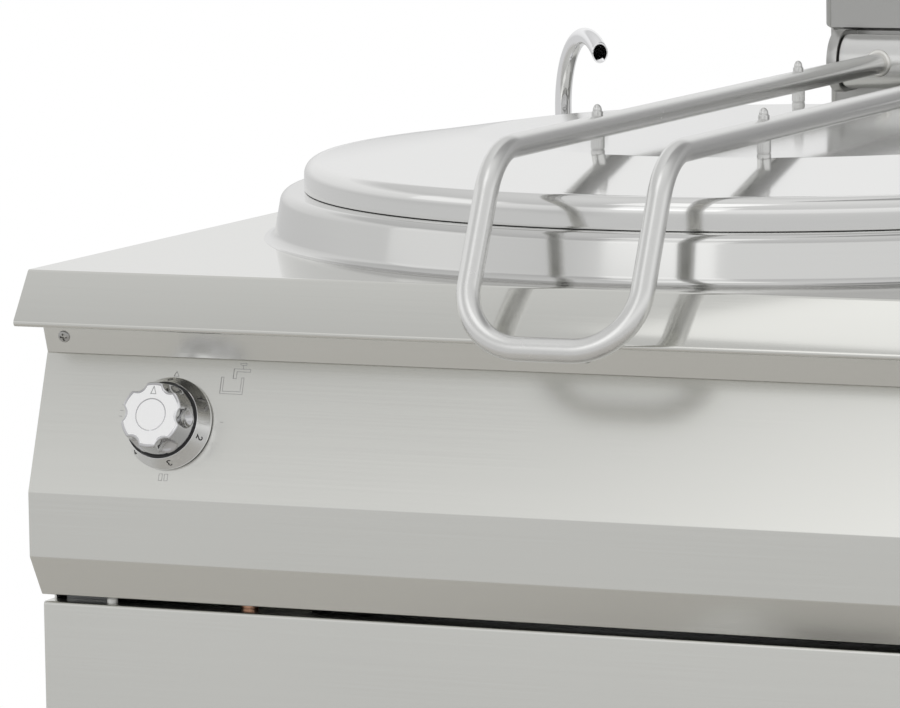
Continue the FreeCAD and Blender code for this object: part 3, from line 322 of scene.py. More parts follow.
def turned_place(group, given, where):
    """Rings about an upright axis: the radius and height run fast, the bearing slowly."""
    off = vector_step(group, "SUBTRACT", where, given.outputs["Centre"])
    flat = vector_step(group, "MULTIPLY", off, (1.0, 1.0, 0.0))
    radius = vector_step(group, "LENGTH", flat)
    bearing = vector_step(group, "NORMALIZE", flat)
    split = group.nodes.new("ShaderNodeSeparateXYZ")
    group.links.new(off, split.inputs[0])
    run = number_step(group, "ADD", radius, split.outputs["Z"])
    fast = number_step(group, "MULTIPLY", run, given.outputs["Fineness"])
    rise = group.nodes.new("ShaderNodeCombineXYZ")
    group.links.new(fast, rise.inputs["Z"])
    slow = vector_step(group, "SCALE", bearing, given.outputs["Arc"])
    return vector_step(group, "ADD", slow, rise.outputs[0])


ring_inputs = [("Centre", "Vector", (0.0, 0.0, 0.0)), ("Fineness", "Float", 900.0), ("Arc", "Float", 1.5)]
ring_grain = finish_group("ring_grain", turned_place, ring_inputs)
turned_steel = finish("turned_steel", even_grain, TURNED_COLOUR, 1.0, 0.26, Contrast=0.12, Spread=0.12,
                      Fineness=700.0)
dress(turned_steel, "foot_stems")

# Casing and insulation. A rolled steel drum hangs under the worktop round the vessel, filled
# with mineral wool at the side and below, so that little heat reaches the cabinet.
WOOL_COLOUR = (0.72, 0.62, 0.40)
dress(zinc, "vessel_casing")
wool = finish("mineral_wool", even_grain, WOOL_COLOUR, 0.0, 0.95, height=0.002, Contrast=0.7, Clouds=0.4,
              Fineness=220.0)
dress(wool, "insulation_blanket", "bottom_insulation")

# Vessel. A deep drawn stainless pot with rounded corners and a bottom that falls to the outlet,
# ground inside with a fine circular satin.
BOWL_COLOUR = (0.66, 0.66, 0.65)
collar_low, collar_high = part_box("vessel_collar")
bowl_centre = ((collar_low.x + collar_high.x) / 2.0, (collar_low.y + collar_high.y) / 2.0, 0.0)
bowl_steel = finish("vessel_satin", even_grain, BOWL_COLOUR, 1.0, 0.3, height=0.000004, Contrast=0.05,
                    Spread=0.06, Clouds=0.03, Fineness=900.0)
dress(bowl_steel, "inner_vessel")

# Strainer. A small pressed and drilled dome with a pull knob, dropped into the outlet at the
# lowest point of the vessel, so that no food gets into the drain pipe.
dress(turned_steel, "drain_strainer")

# Heating elements. Three sheathed rings, tinted dark by heat, pressed up under the vessel by a
# spider plate and three bolts.
SHEATH_COLOUR = (0.26, 0.23, 0.21)
sheath = finish("element_sheath", even_grain, SHEATH_COLOUR, 0.8, 0.55, Contrast=0.3, Clouds=0.7,
                Fineness=300.0)
dress(sheath, "heating_elements")
dress(turned_steel, "element_clamp", "clamp_bolts")

# Drain pipe, clamp ring and ball tap. Stainless pipe and a polished tap body in front, whose
# ball is turned a quarter by a flat lever with a black sleeve.
TAP_COLOUR = (0.72, 0.72, 0.71)
BLACK_COLOUR = (0.028, 0.028, 0.03)
satin_pipe = finish("satin_pipe", even_grain, TURNED_COLOUR, 1.0, 0.3, Contrast=0.14, Spread=0.14,
                    Fineness=500.0)
dress(satin_pipe, "drain_pipe", "pipe_clamp")
tap_metal = finish("polished_tap", even_grain, TAP_COLOUR, 1.0, 0.12, Contrast=0.05, Spread=0.06,
                   Fineness=260.0)
dress(tap_metal, "drain_valve_body", "drain_outlet", "drain_ball", "valve_stem", "lever_nut")
dress(tap_metal, "valve_lever", edge=0.0005)
black_plastic = finish("black_plastic", even_grain, BLACK_COLOUR, 0.0, 0.45, height=0.00006, Contrast=0.25,
                       Spread=0.15, Fineness=900.0)
dress(black_plastic, "lever_sleeve", "limit_thermostat", "cable_gland")

# Electrics. A plate at the back carries the contactor, a limit thermostat and a terminal
# block; the heat regulator sits behind the right knob.
CREAM_COLOUR = (0.74, 0.70, 0.58)
cream_plastic = finish("cream_plastic", even_grain, CREAM_COLOUR, 0.0, 0.5, height=0.00005, Contrast=0.08,
                       Spread=0.1, Fineness=800.0)
dress(cream_plastic, "contactor", "terminal_block", "heat_regulator", edge=0.0008)
dress(zinc, "electrics_plate", edge=0.0004)

# Water pipes. Copper tube from the rear inlet to the valve behind the left knob and on to the
# spout, with brass fittings.
COPPER_COLOUR = (0.78, 0.44, 0.30)
BRASS_COLOUR = (0.76, 0.60, 0.30)
copper = finish("copper_pipe", even_grain, COPPER_COLOUR, 1.0, 0.35, Contrast=0.2, Clouds=0.35,
                Fineness=240.0)
brass = finish("brass_fitting", even_grain, BRASS_COLOUR, 1.0, 0.3, Contrast=0.14, Clouds=0.2,
               Fineness=300.0)
dress(copper, "spout_pipe", "supply_pipe")
dress(brass, "water_valve", "water_inlet", "rear_lock_nuts", "spout_nut")

# Side panels and rear cover. Flat brushed sheet with folded edges; the back has vent slots and
# round holes for the water inlet and the cable gland.
SHEET_COLOUR = (0.70, 0.70, 0.67)
SHEET_ROUGHNESS = 0.24


def brushed_place(group, given, where):
    """Long grain: the place is stretched so that the noise runs on along one axis."""
    return vector_step(group, "MULTIPLY", where, given.outputs["Stretch"])


long_grain = finish_group("long_grain", brushed_place, [("Stretch", "Vector", (3.0, 900.0, 900.0))])


def brushed(name, colour, roughness, stretch=(4.0, 1100.0, 1100.0)):
    """Brushed stainless sheet with its grain along the axis of the smallest stretch."""
    return finish(name, long_grain, colour, 1.0, roughness, height=0.000003, Contrast=0.05, Spread=0.06,
                  Clouds=0.02, Stretch=stretch)


side_sheet = brushed("brushed_side", SHEET_COLOUR, SHEET_ROUGHNESS, (1100.0, 4.0, 1100.0))
dress(side_sheet, "left_side_panel", "right_side_panel")
sheet_steel = brushed("brushed_sheet", SHEET_COLOUR, SHEET_ROUGHNESS)
dress(sheet_steel, "rear_cover")

# Worktop. One 2 mm stainless sheet: a flat plate with a round hole for the vessel, folded down
# in front to a sloping nose, and closed at the sides and back by upstands welded on below.
WORKTOP_T = 0.002
POLISHED_ROUGHNESS = 0.095
NOSE_OUT = 0.026
NOSE_UNDER = 0.030
NOSE_BEND = 0.0028
NOSE_FALL = 0.001
BACK_SHORT = 0.006
CASING_LEDGE = 0.024
HOLE_STEPS = 288
worktop_low, worktop_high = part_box("worktop")
TOP = worktop_high.z
HALF_WIDTH = worktop_high.x
FRONT = worktop_low.y + NOSE_OUT
BACK = worktop_high.y
NOSE_DROP = TOP - worktop_low.z - NOSE_FALL
PLATE_FRONT = FRONT + 0.004
casing_low, casing_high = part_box("vessel_casing")
HOLE_R = (casing_high.x - casing_low.x) / 2.0 - CASING_LEDGE


def full_turn(steps):
    """Angles in even steps all the way round."""
    return np.linspace(0.0, 2.0 * math.pi, steps, endpoint=False)


def rounded(corners, radii, steps=5):
    """Straight runs with every inner corner replaced by an arc that touches both of its runs."""
    corners = np.asarray(corners, float)
    line = [corners[:1]]
    for before, corner, after, radius in zip(corners[:-2], corners[1:-1], corners[2:], radii):
        back = (before - corner) / np.linalg.norm(before - corner)
        ahead = (after - corner) / np.linalg.norm(after - corner)
        half = math.acos(np.clip(back @ ahead, -1.0, 1.0)) / 2.0
        middle = corner + (back + ahead) / np.linalg.norm(back + ahead) * radius / math.sin(half)
        start = corner + back * radius / math.tan(half) - middle
        end = corner + ahead * radius / math.tan(half) - middle
        sweep = math.acos(np.clip(start @ end / radius ** 2, -1.0, 1.0))
        share = np.linspace(0.0, 1.0, steps + 1)[:, None]
        arc = (np.sin((1.0 - share) * sweep) * start + np.sin(share * sweep) * end) / math.sin(sweep)
        line.append(middle + arc)
    line.append(corners[-1:])
    return np.vstack(line)


def quads(rows, columns, ring_rows, ring_columns, first):
    """Faces between neighbouring rows and columns of a grid of points; a ring also joins last to first."""
    r = np.arange(rows if ring_rows else rows - 1)[:, None]
    c = np.arange(columns if ring_columns else columns - 1)[None, :]
    r2 = (r + 1) % rows
    c2 = (c + 1) % columns
    corners = (r * columns + c, r2 * columns + c, r2 * columns + c2, r * columns + c2)
    faces = np.stack(np.broadcast_arrays(*corners), -1)
    return (faces.reshape(-1, 4) + first).tolist()


def piece(name, body, material, grids, stands_for=(), sharp=35.0, flats=()):
    """Object from grids, each (points, rows closed, columns closed, ends filled), and flat faces."""
    points = []
    faces = []
    count = 0
    for grid, ring_rows, ring_columns, ends in grids:
        rows, columns = grid.shape[:2]
        faces += quads(rows, columns, ring_rows, ring_columns, count)
        if ends:
            faces.append(list(range(count, count + columns))[::-1])
            faces.append(list(range(count + (rows - 1) * columns, count + rows * columns)))
        points.append(grid.reshape(-1, 3))
        count += rows * columns
    for flat in flats:
        faces.append(list(range(count, count + len(flat))))
        points.append(flat)
        count += len(flat)
    mesh = bpy.data.meshes.new(name)
    mesh.from_pydata(np.vstack(points).tolist(), [], faces)
    merged = bmesh.new()
    merged.from_mesh(mesh)
    bmesh.ops.remove_doubles(merged, verts=merged.verts, dist=0.000002)
    bmesh.ops.recalc_face_normals(merged, faces=merged.faces)
    merged.to_mesh(mesh)
    merged.free()
    mesh.polygons.foreach_set("use_smooth", [True] * len(mesh.polygons))
    mesh.set_sharp_from_angle(angle=math.radians(sharp))
    mesh.materials.append(material)
    made = bpy.data.objects.new(name, mesh)
    bpy.context.collection.objects.link(made)
    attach(made, body)
    if stands_for:
        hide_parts(*stands_for)
    return made


def plate_with_hole(x0, x1, y0, y1, z, centre, radius):
    """Flat plate: each ray from the hole's centre runs from the circle out to the rectangle."""
    corner_angles = [math.atan2(y - centre[1], x - centre[0]) for x in (x0, x1) for y in (y0, y1)]
    angles = np.linspace(-math.pi, math.pi, HOLE_STEPS, endpoint=False)
    angles = np.sort(np.concatenate((angles, corner_angles)))
    ray = np.stack((np.cos(angles), np.sin(angles)), -1)
    reach_x = np.where(ray[:, 0] > 0, x1 - centre[0], centre[0] - x0) / np.maximum(np.abs(ray[:, 0]), 1e-9)
    reach_y = np.where(ray[:, 1] > 0, y1 - centre[1], centre[1] - y0) / np.maximum(np.abs(ray[:, 1]), 1e-9)
    outer = ray * np.minimum(reach_x, reach_y)[:, None]
    inner = ray * radius
    share = np.array([0.0, 0.35, 1.0])[:, None, None]
    flat = np.asarray(centre)[:2] + inner + (outer - inner) * share
    return np.concatenate((flat, np.full(flat.shape[:2] + (1,), z)), -1)


plate = plate_with_hole(-HALF_WIDTH, HALF_WIDTH, PLATE_FRONT, BACK, TOP, bowl_centre, HOLE_R)
rim = plate[-1]
front_x = np.sort(rim[np.abs(rim[:, 1] - (PLATE_FRONT)) < 1e-7][:, 0])
side_y = np.sort(rim[np.abs(rim[:, 0] - HALF_WIDTH) < 1e-7][:, 1])
left_y = np.sort(rim[np.abs(rim[:, 0] + HALF_WIDTH) < 1e-7][:, 1])
back_x = np.sort(rim[np.abs(rim[:, 1] - BACK) < 1e-7][:, 0])
nose_line = rounded([
    (PLATE_FRONT, TOP),
    (FRONT, TOP),
    (FRONT - NOSE_OUT, TOP - NOSE_DROP),
    (FRONT - NOSE_OUT + NOSE_UNDER, TOP - NOSE_DROP - NOSE_FALL),
], (NOSE_BEND, NOSE_BEND))


def carried(line, xs):
    """Surface swept along X: the same (y, z) line at every x."""
    grid = np.empty((len(line), len(xs), 3))
    grid[:, :, 0] = xs
    grid[:, :, 1:] = line[:, None, :]
    return grid


back_line = np.array([(BACK, TOP), (BACK, TOP - NOSE_DROP + BACK_SHORT)])
cheeks = []
for x, ys in ((-HALF_WIDTH, left_y), (HALF_WIDTH, side_y)):
    edge = np.stack((ys[::-1], np.full(len(ys), TOP)), -1)
    outline = np.vstack((edge, nose_line[1:], [(BACK, TOP - NOSE_DROP - NOSE_FALL)], [back_line[-1]]))
    cheeks.append(np.column_stack((np.full(len(outline), x), outline)))
polished_sheet = brushed("polished_sheet", SHEET_COLOUR, POLISHED_ROUGHNESS)
worktop = piece("worktop_sheet", "cabinet", polished_sheet,
                [(plate, False, True, False), (carried(nose_line, front_x), False, False, False),
                 (carried(back_line, back_x), False, False, False)], ["worktop"], flats=cheeks)
thick = worktop.modifiers.new("sheet", "SOLIDIFY")
thick.thickness = WORKTOP_T
thick.offset = -1.0
ease_edges(worktop, 0.0007)

# Recess strip and its screws. A narrow folded strip under the nose closes the front above the
# control panel and is held by three stainless cross-recess screws.
SKIN = 0.0015
STRIP_BEND = 0.002
STRIP_BACK = 0.016
STRIP_HALF = 0.3948
STRIP_LAP = 0.0008
strip_low, strip_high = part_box("recess_strip")
SCREW_R = 0.0042
SCREW_DOME = 0.0009
SCREW_DROP = 0.046
CROSS_HALF = 0.0026
CROSS_WIDTH = 0.0007
CROSS_DEPTH = 0.0022
SCREW_COLOUR = (0.46, 0.46, 0.45)


def set_off(line, distance):
    """The line moved to its right by a distance, stretched at the corners so that it stays parallel."""
    runs = np.diff(line, axis=0)
    runs /= np.linalg.norm(runs, axis=1)[:, None]
    side = np.stack((runs[:, 1], -runs[:, 0]), -1)
    before = np.vstack((side[:1], side))
    after = np.vstack((side, side[-1:]))
    return line + distance * (before + after) / (1.0 + np.sum(before * after, axis=1))[:, None]


def bent_sheet(line, thickness, x0, x1):
    """Sheet of even thickness: a four-sided ring, outside and inside at both ends, run along the line."""
    inside = set_off(line, thickness)
    ring = np.empty((len(line), 4, 3))
    ring[:, :, 0] = (x0, x1, x1, x0)
    ring[:, 0, 1:] = ring[:, 1, 1:] = line
    ring[:, 2, 1:] = ring[:, 3, 1:] = inside
    return ring, False, True, True


lean_z = TOP - NOSE_DROP + NOSE_FALL
strip_line = rounded([
    (strip_high.y, strip_high.z),
    (strip_low.y, strip_high.z),
    (strip_low.y, lean_z),
    (FRONT + STRIP_BACK - STRIP_LAP / 2.0, strip_low.z - STRIP_LAP),
], (STRIP_BEND, STRIP_BEND))
strip = piece("front_strip", "cabinet", sheet_steel,
              [bent_sheet(strip_line, -SKIN, -STRIP_HALF, STRIP_HALF)], ["recess_strip"])
ease_edges(strip, 0.0004)
screws_low, screws_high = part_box("strip_screws")
screw_z = TOP - SCREW_DROP
lean = math.atan2(FRONT + STRIP_BACK - strip_low.y, lean_z - strip_low.z)
screw_y = FRONT + STRIP_BACK - (screw_z - strip_low.z) * math.tan(lean)
screw_xs = (screws_low.x + SCREW_R, 0.0, screws_high.x - SCREW_R)


def screw_head(x, z, face_y):
    """Domed disc on a polar grid with a cross pressed in: the depth falls off across the cross's walls."""
    radius = np.concatenate((np.linspace(0.0, SCREW_R, 26), [SCREW_R, SCREW_R]))[:, None]
    angle = full_turn(96)[None, :]
    across, upright = radius * np.cos(angle), radius * np.sin(angle)
    arm = np.maximum(np.abs(across), np.abs(upright)) - CROSS_HALF
    width = np.minimum(np.abs(across), np.abs(upright)) - CROSS_WIDTH
    wall = np.clip(-np.maximum(arm, width) / 0.00035, 0.0, 1.0)
    rise = SCREW_DOME * np.sqrt(np.clip(1.0 - (radius / SCREW_R) ** 2, 0.0, 1.0)) + 0.0009
    out = rise - CROSS_DEPTH * wall
    out[-2] = 0.0006
    out[-1] = -0.0005
    back = -out * math.cos(lean) - upright * math.sin(lean)
    rise = upright * math.cos(lean) - out * math.sin(lean)
    return np.stack((x + across, face_y + back, z + rise), -1), False, True, False


screw_steel = finish("screw_steel", ring_grain, SCREW_COLOUR, 1.0, 0.22, Contrast=0.1, Spread=0.1)
piece("strip_screw_heads", "cabinet", screw_steel,
      [screw_head(x, screw_z, screw_y) for x in screw_xs], ["strip_screws"], sharp=50.0)

# Control panel. Folded from one brushed sheet in three flats, a long slope for the knobs, an
# upright face and a face that turns back under it, with plates welded into its ends.
PANEL_BEND = 0.0025
CREASE_OUT = 0.017
CREASE_1 = 0.149
CREASE_2 = 0.193
MARK_COLOUR = (0.42, 0.42, 0.42)
PANEL_DROP = 0.0024
PANEL_LIP = 0.014
END_DEPTH = 0.0165
panel_low, panel_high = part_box("control_panel")
panel_foot = panel_low.z - PANEL_DROP
slope_start = (FRONT + STRIP_BACK, panel_high.z)
slope_end = (FRONT - CREASE_OUT, TOP - CREASE_1)
panel_line = rounded([
    (FRONT + STRIP_BACK + 0.008, panel_high.z),
    slope_start,
    slope_end,
    (FRONT - CREASE_OUT, TOP - CREASE_2),
    (FRONT, panel_foot),
    (FRONT + PANEL_LIP, panel_foot),
], (0.002, PANEL_BEND, PANEL_BEND, 0.002))
end_line = set_off(panel_line, -SKIN)
end_back = [(FRONT + END_DEPTH, panel_foot + SKIN), (FRONT + END_DEPTH, panel_high.z - SKIN)]
end_line = np.vstack((end_line[1:-1], end_back))


def end_plate(outline, x0, x1):
    """Flat plate: one outline at two places along X, with both ends filled."""
    grid = np.empty((2, len(outline), 3))
    grid[:, :, 0] = ((x0,), (x1,))
    grid[:, :, 1:] = outline
    return grid, False, True, True


piece("control_panel_sheet", "cabinet", sheet_steel,
      [bent_sheet(panel_line, -SKIN, panel_low.x, panel_high.x),
       end_plate(end_line, panel_low.x, panel_low.x + SKIN),
       end_plate(end_line, panel_high.x - SKIN, panel_high.x)], ["control_panel"])

# Front panel and buffers. The large lower sheet is folded back along its top and foot and
# stands on two white nylon buffers that keep a dark gap under the control panel.
DOOR_BEND = 0.0022
DOOR_DROP = 0.0012
DOOR_LIP = 0.009
END_INSET = 0.0003
door_low, door_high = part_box("front_panel")
door_top = door_high.z - DOOR_DROP
door_line = rounded([
    (door_high.y, door_top - DOOR_LIP),
    (door_high.y, door_top),
    (door_low.y, door_top),
    (door_low.y, door_low.z),
    (door_high.y, door_low.z),
], (0.001, DOOR_BEND, DOOR_BEND))
door_end = [(door_low.y + END_INSET, door_low.z + END_INSET), (door_high.y, door_low.z + END_INSET),
            (door_high.y, door_top - END_INSET), (door_low.y + END_INSET, door_top - END_INSET)]
piece("front_panel_sheet", "cabinet", sheet_steel,
      [bent_sheet(door_line, -SKIN, door_low.x, door_high.x),
       end_plate(door_end, door_low.x + END_INSET, door_low.x + SKIN),
       end_plate(door_end, door_high.x - SKIN, door_high.x - END_INSET)], ["front_panel"])
NYLON_COLOUR = (0.80, 0.80, 0.78)
nylon = finish("white_nylon", even_grain, NYLON_COLOUR, 0.0, 0.4, height=0.00003, Contrast=0.05, Spread=0.1,
               Fineness=700.0)
buffers_low, buffers_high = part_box("panel_buffers")
BUFFER_R = 0.0036
PIN_R = 0.003
SEAT_DROP = door_top - buffers_low.z
BUFFER_H = panel_foot - door_top - 0.0006


def turned(profile, centre, steps=64, up=(0.0, 0.0, 1.0), across=(1.0, 0.0, 0.0)):
    """Surface of revolution: (radius, height) pairs turned about the up axis through the centre."""
    profile = np.asarray(profile, float)
    up, across = np.asarray(up, float), np.asarray(across, float)
    side = np.cross(up, across)
    angle = full_turn(steps)
    ring = np.cos(angle)[:, None] * across + np.sin(angle)[:, None] * side
    grid = profile[:, 0, None, None] * ring[None] + profile[:, 1, None, None] * up
    return grid + np.asarray(centre, float), False, True, False


buffer_profile = [(0.0, -SEAT_DROP), (PIN_R, -SEAT_DROP), (PIN_R, 0.0002), (BUFFER_R, 0.0002)]
buffer_profile += [(BUFFER_R, BUFFER_H - 0.0012), (BUFFER_R - 0.0011, BUFFER_H - 0.0002)]
buffer_profile += [(0.0, BUFFER_H - 0.0002)]
buffer_y = (buffers_low.y + buffers_high.y) / 2.0
piece("nylon_buffers", "cabinet", nylon,
      [turned(buffer_profile, (x, buffer_y, door_top), 32)
       for x in (buffers_low.x + BUFFER_R, buffers_high.x - BUFFER_R)], ["panel_buffers"])

# Knobs. Each is a chromed cone with the dial figures on it and a satin-faced grip with six
# scoops, both pushed on the spindle of the valve or regulator behind the panel.
CHROME_COLOUR = (0.86, 0.86, 0.87)
# The grip is the same chrome as the cone but set darker: painted shade for the dark reflections on its
# sides and scoops.
GRIP_SHADED_COLOUR = (0.58, 0.58, 0.59)
FACE_COLOUR = (0.93, 0.93, 0.93)
# Black of the printed figures, also used as painted shade in the knobs' grip groove and inside the spout's
# mouth.
INK_AND_SHADE_COLOUR = (0.02, 0.02, 0.02)
SKIRT_R = 0.0315
SKIRT_H = 0.013
KNOB_LIFT = 0.0008
GRIP_BASE_R = 0.0248
GRIP_FACE_R = 0.0222
GRIP_H = 0.0180
CONE_FOOT = (SKIRT_R - 0.0003, 0.0032)
CONE_TOP = (GRIP_BASE_R + 0.0018, SKIRT_H - 0.0008)
GRIP_ROUND = np.array((0.0011, 0.0007, 0.0004, 0.0002, 0.00006, 0.0))
GRIP_EASE = np.array((0.0, 0.00006, 0.0002, 0.0004, 0.0007, 0.0010))
SCOOPS = 6
SCOOP_R = 0.008
SCOOP_CENTRE = 0.0270
SCOOP_START = 0.003
SCOOP_SOFT = 0.00022
SCOOP_LEVEL = 0.02
FACE_ROUND_R = 0.0125
FACE_LOBED_R = 0.0175
FACE_EDGE_R = 0.0188
FIGURE_STEP = math.radians(-55.0)
FIGURE_H = 0.0046
FIGURE_LINE = 0.0008
FIGURE_LIFT = 0.00007
BRIGHT = {"height": 0.000004, "Contrast": 0.02, "Spread": 0.03, "Clouds": 0.02, "Fineness": 200.0}
chrome = finish("bright_chrome", even_grain, CHROME_COLOUR, 1.0, 0.05, **BRIGHT)
grip_chrome_painted_shade = finish("grip_chrome_painted_shade", even_grain, GRIP_SHADED_COLOUR, 1.0, 0.05, **BRIGHT)
satin_face = finish("satin_face", even_grain, FACE_COLOUR, 1.0, 0.42, height=0.000006, Contrast=0.04,
                    Spread=0.06, Clouds=0.02, Fineness=900.0)
# Black ink for the dial figures. The same material also draws a black ring in the groove under the grip,
# which is painted shade.
ink_and_gap_shade = finish("printed_ink_with_painted_gap_shade", even_grain, INK_AND_SHADE_COLOUR, 0.0, 0.5, Contrast=0.1, Fineness=900.0)
etched = finish("etched_mark", even_grain, MARK_COLOUR, 0.6, 0.55, Contrast=0.15, Fineness=900.0)
slope = np.array([0.0, slope_end[0] - slope_start[0], slope_end[1] - slope_start[1]])
slope_up = -slope / np.linalg.norm(slope)
knob_axis = np.cross((1.0, 0.0, 0.0), slope_up)
knob_joints = {joint["child"]: joint for joint in frame["joints"] if "knob" in joint["child"]}
FIGURES = {
    "0": [[(0.5 + 0.36 * math.sin(a), 0.5 + 0.5 * math.cos(a)) for a in np.linspace(0, 2 * math.pi, 25)]],
    "1": [[(0.18, 0.74), (0.52, 1.0), (0.52, 0.0)]],
    "2": [[(0.5 + 0.34 * math.sin(a), 0.69 + 0.31 * math.cos(a)) for a in np.linspace(-1.35, 1.9, 15)]
          + [(0.12, 0.0), (0.9, 0.0)]],
    "3": [[(0.46 + 0.32 * math.sin(a), 0.75 + 0.25 * math.cos(a)) for a in np.linspace(-1.2, 3.0, 15)],
          [(0.46 + 0.38 * math.sin(a), 0.25 + 0.27 * math.cos(a)) for a in np.linspace(0.1, 4.4, 17)]],
    "4": [[(0.74, 0.0), (0.74, 1.0), (0.08, 0.3), (0.96, 0.3)]],
}


def on_slope(points, seat):
    """Local places, with Z out along the knob's axis and Y up the slope, stood on the panel at the seat."""
    axes = np.array([(1.0, 0.0, 0.0), slope_up, knob_axis])
    return np.asarray(seat) + points @ axes


def stroke(path, width, place):
    """Raised line: the path set off to both sides, at two heights, goes round as a four-sided ring."""
    path = np.asarray(path, float)
    left, right = set_off(path, -width / 2.0), set_off(path, width / 2.0)
    ring = np.empty((len(path), 4, 3))
    ring[:, 0, :2], ring[:, 1, :2] = left, right
    ring[:, 2, :2], ring[:, 3, :2] = right, left
    ring[:, :2, 2], ring[:, 2:, 2] = -FIGURE_LIFT, FIGURE_LIFT
    return place(ring), False, True, True


def outline_mark(points):
    """Closed outline that overlaps its own start, so that its corner is whole."""
    return np.vstack((points, points[:2]))


def fine(path, step=0.0006):
    """Path with points added so that no run is longer than the step."""
    path = np.asarray(path, float)
    runs = np.linalg.norm(np.diff(path, axis=0), axis=1)
    parts = [np.linspace(a, b, max(2, int(run / step) + 1))[:-1] for a, b, run in zip(path, path[1:], runs)]
    return np.vstack(parts + [path[-1:]])


def on_cone(flat, angle):
    """Figure plane laid on the skirt: X goes round the cone and Y down it, towards the outside."""
    low, high = np.array(CONE_FOOT), np.array(CONE_TOP)
    slant = (low - high) / np.linalg.norm(low - high)
    lift = np.array([-slant[1], slant[0]])
    middle = (low + high) / 2.0 + (0.0, KNOB_LIFT)
    radius = middle[0] + flat[..., 1] * slant[0] + flat[..., 2] * lift[0]
    rise = middle[1] + flat[..., 1] * slant[1] + flat[..., 2] * lift[1]
    bearing = angle - flat[..., 0] / middle[0]
    return np.stack((radius * np.cos(bearing), radius * np.sin(bearing), rise), -1)


def grip_surface(steps=216):
    """Cone cut by six round-nosed cutters: the radius is the softened lesser of cone and cutter wall."""
    climb = np.linspace(0.0036, GRIP_H - 0.0014, 27)
    rise = np.concatenate(([0.0, 0.0003, 0.0006, 0.0020], climb, GRIP_H - GRIP_ROUND))
    cone = GRIP_BASE_R + (GRIP_FACE_R - GRIP_BASE_R) * np.clip(rise / GRIP_H, 0.0, 1.0)
    cone[0] -= 0.0006
    cone[1] -= 0.0001
    angle = full_turn(steps)
    off = (angle + math.pi / SCOOPS) % (2.0 * math.pi / SCOOPS) - math.pi / SCOOPS
    nose = np.clip(SCOOP_R + SCOOP_START - rise, 0.0, SCOOP_R)
    width = np.sqrt(SCOOP_R ** 2 - nose ** 2)[:, None]
    beside, ahead = SCOOP_CENTRE * np.sin(off), SCOOP_CENTRE * np.cos(off)
    reach = ahead - np.sqrt(np.clip(width ** 2 - beside ** 2, 0.0, None))
    reach = np.where(np.abs(beside) < width, reach, ahead + 0.002)
    walls = [np.exp((SCOOP_LEVEL - wall) / SCOOP_SOFT) for wall in (cone[:, None], reach)]
    radius = -SCOOP_SOFT * np.log(walls[0] + walls[1]) + SCOOP_LEVEL
    radius[-len(GRIP_ROUND):] -= GRIP_EASE[:, None]
    height = np.broadcast_to(rise[:, None], radius.shape)
    return np.stack((radius * np.cos(angle), radius * np.sin(angle), height), -1)


def face_disc(radius_rows, height_rows, steps=216):
    """Flat face: rings of points that follow the scooped outline near the edge and are round inside."""
    outline = grip_surface(steps)[-1]
    edge = np.linalg.norm(outline[:, :2], axis=1)
    angle = full_turn(steps)
    rows = []
    for radius, height in zip(radius_rows, height_rows):
        blend = np.clip((radius - FACE_ROUND_R) / (FACE_LOBED_R - FACE_ROUND_R), 0.0, 1.0)
        reach = radius * (1.0 - blend) + edge * (radius / FACE_EDGE_R) * blend
        rows.append(np.stack((reach * np.cos(angle), reach * np.sin(angle), np.full(steps, height)), -1))
    return np.array(rows)


skirt_profile = [(0.0040, 0.0), (0.0160, 0.0), (SKIRT_R - 0.0016, 0.0), (SKIRT_R - 0.0004, 0.0003)]
skirt_profile += [(SKIRT_R, 0.0010), (SKIRT_R, 0.0026), CONE_FOOT, CONE_TOP]
skirt_profile += [(GRIP_BASE_R + 0.0016, SKIRT_H - 0.0001), (GRIP_BASE_R + 0.0014, SKIRT_H)]
skirt_profile += [(GRIP_BASE_R + 0.0012, SKIRT_H - 0.0003), (GRIP_BASE_R + 0.0011, SKIRT_H - 0.0016)]
skirt_profile += [(0.0040, SKIRT_H - 0.0016), (0.0040, 0.0)]
GROOVE_R = 0.0108
groove_rows = [0.0178, 0.0150, 0.0125, GROOVE_R + 0.0008]
groove_rows += [GROOVE_R + across for across in (0.0004, 0.0002, -0.0002, -0.0004, -0.0008)] + [0.0050]
groove_heights = [GRIP_H] * 5 + [GRIP_H - 0.0004] * 2 + [GRIP_H] * 3
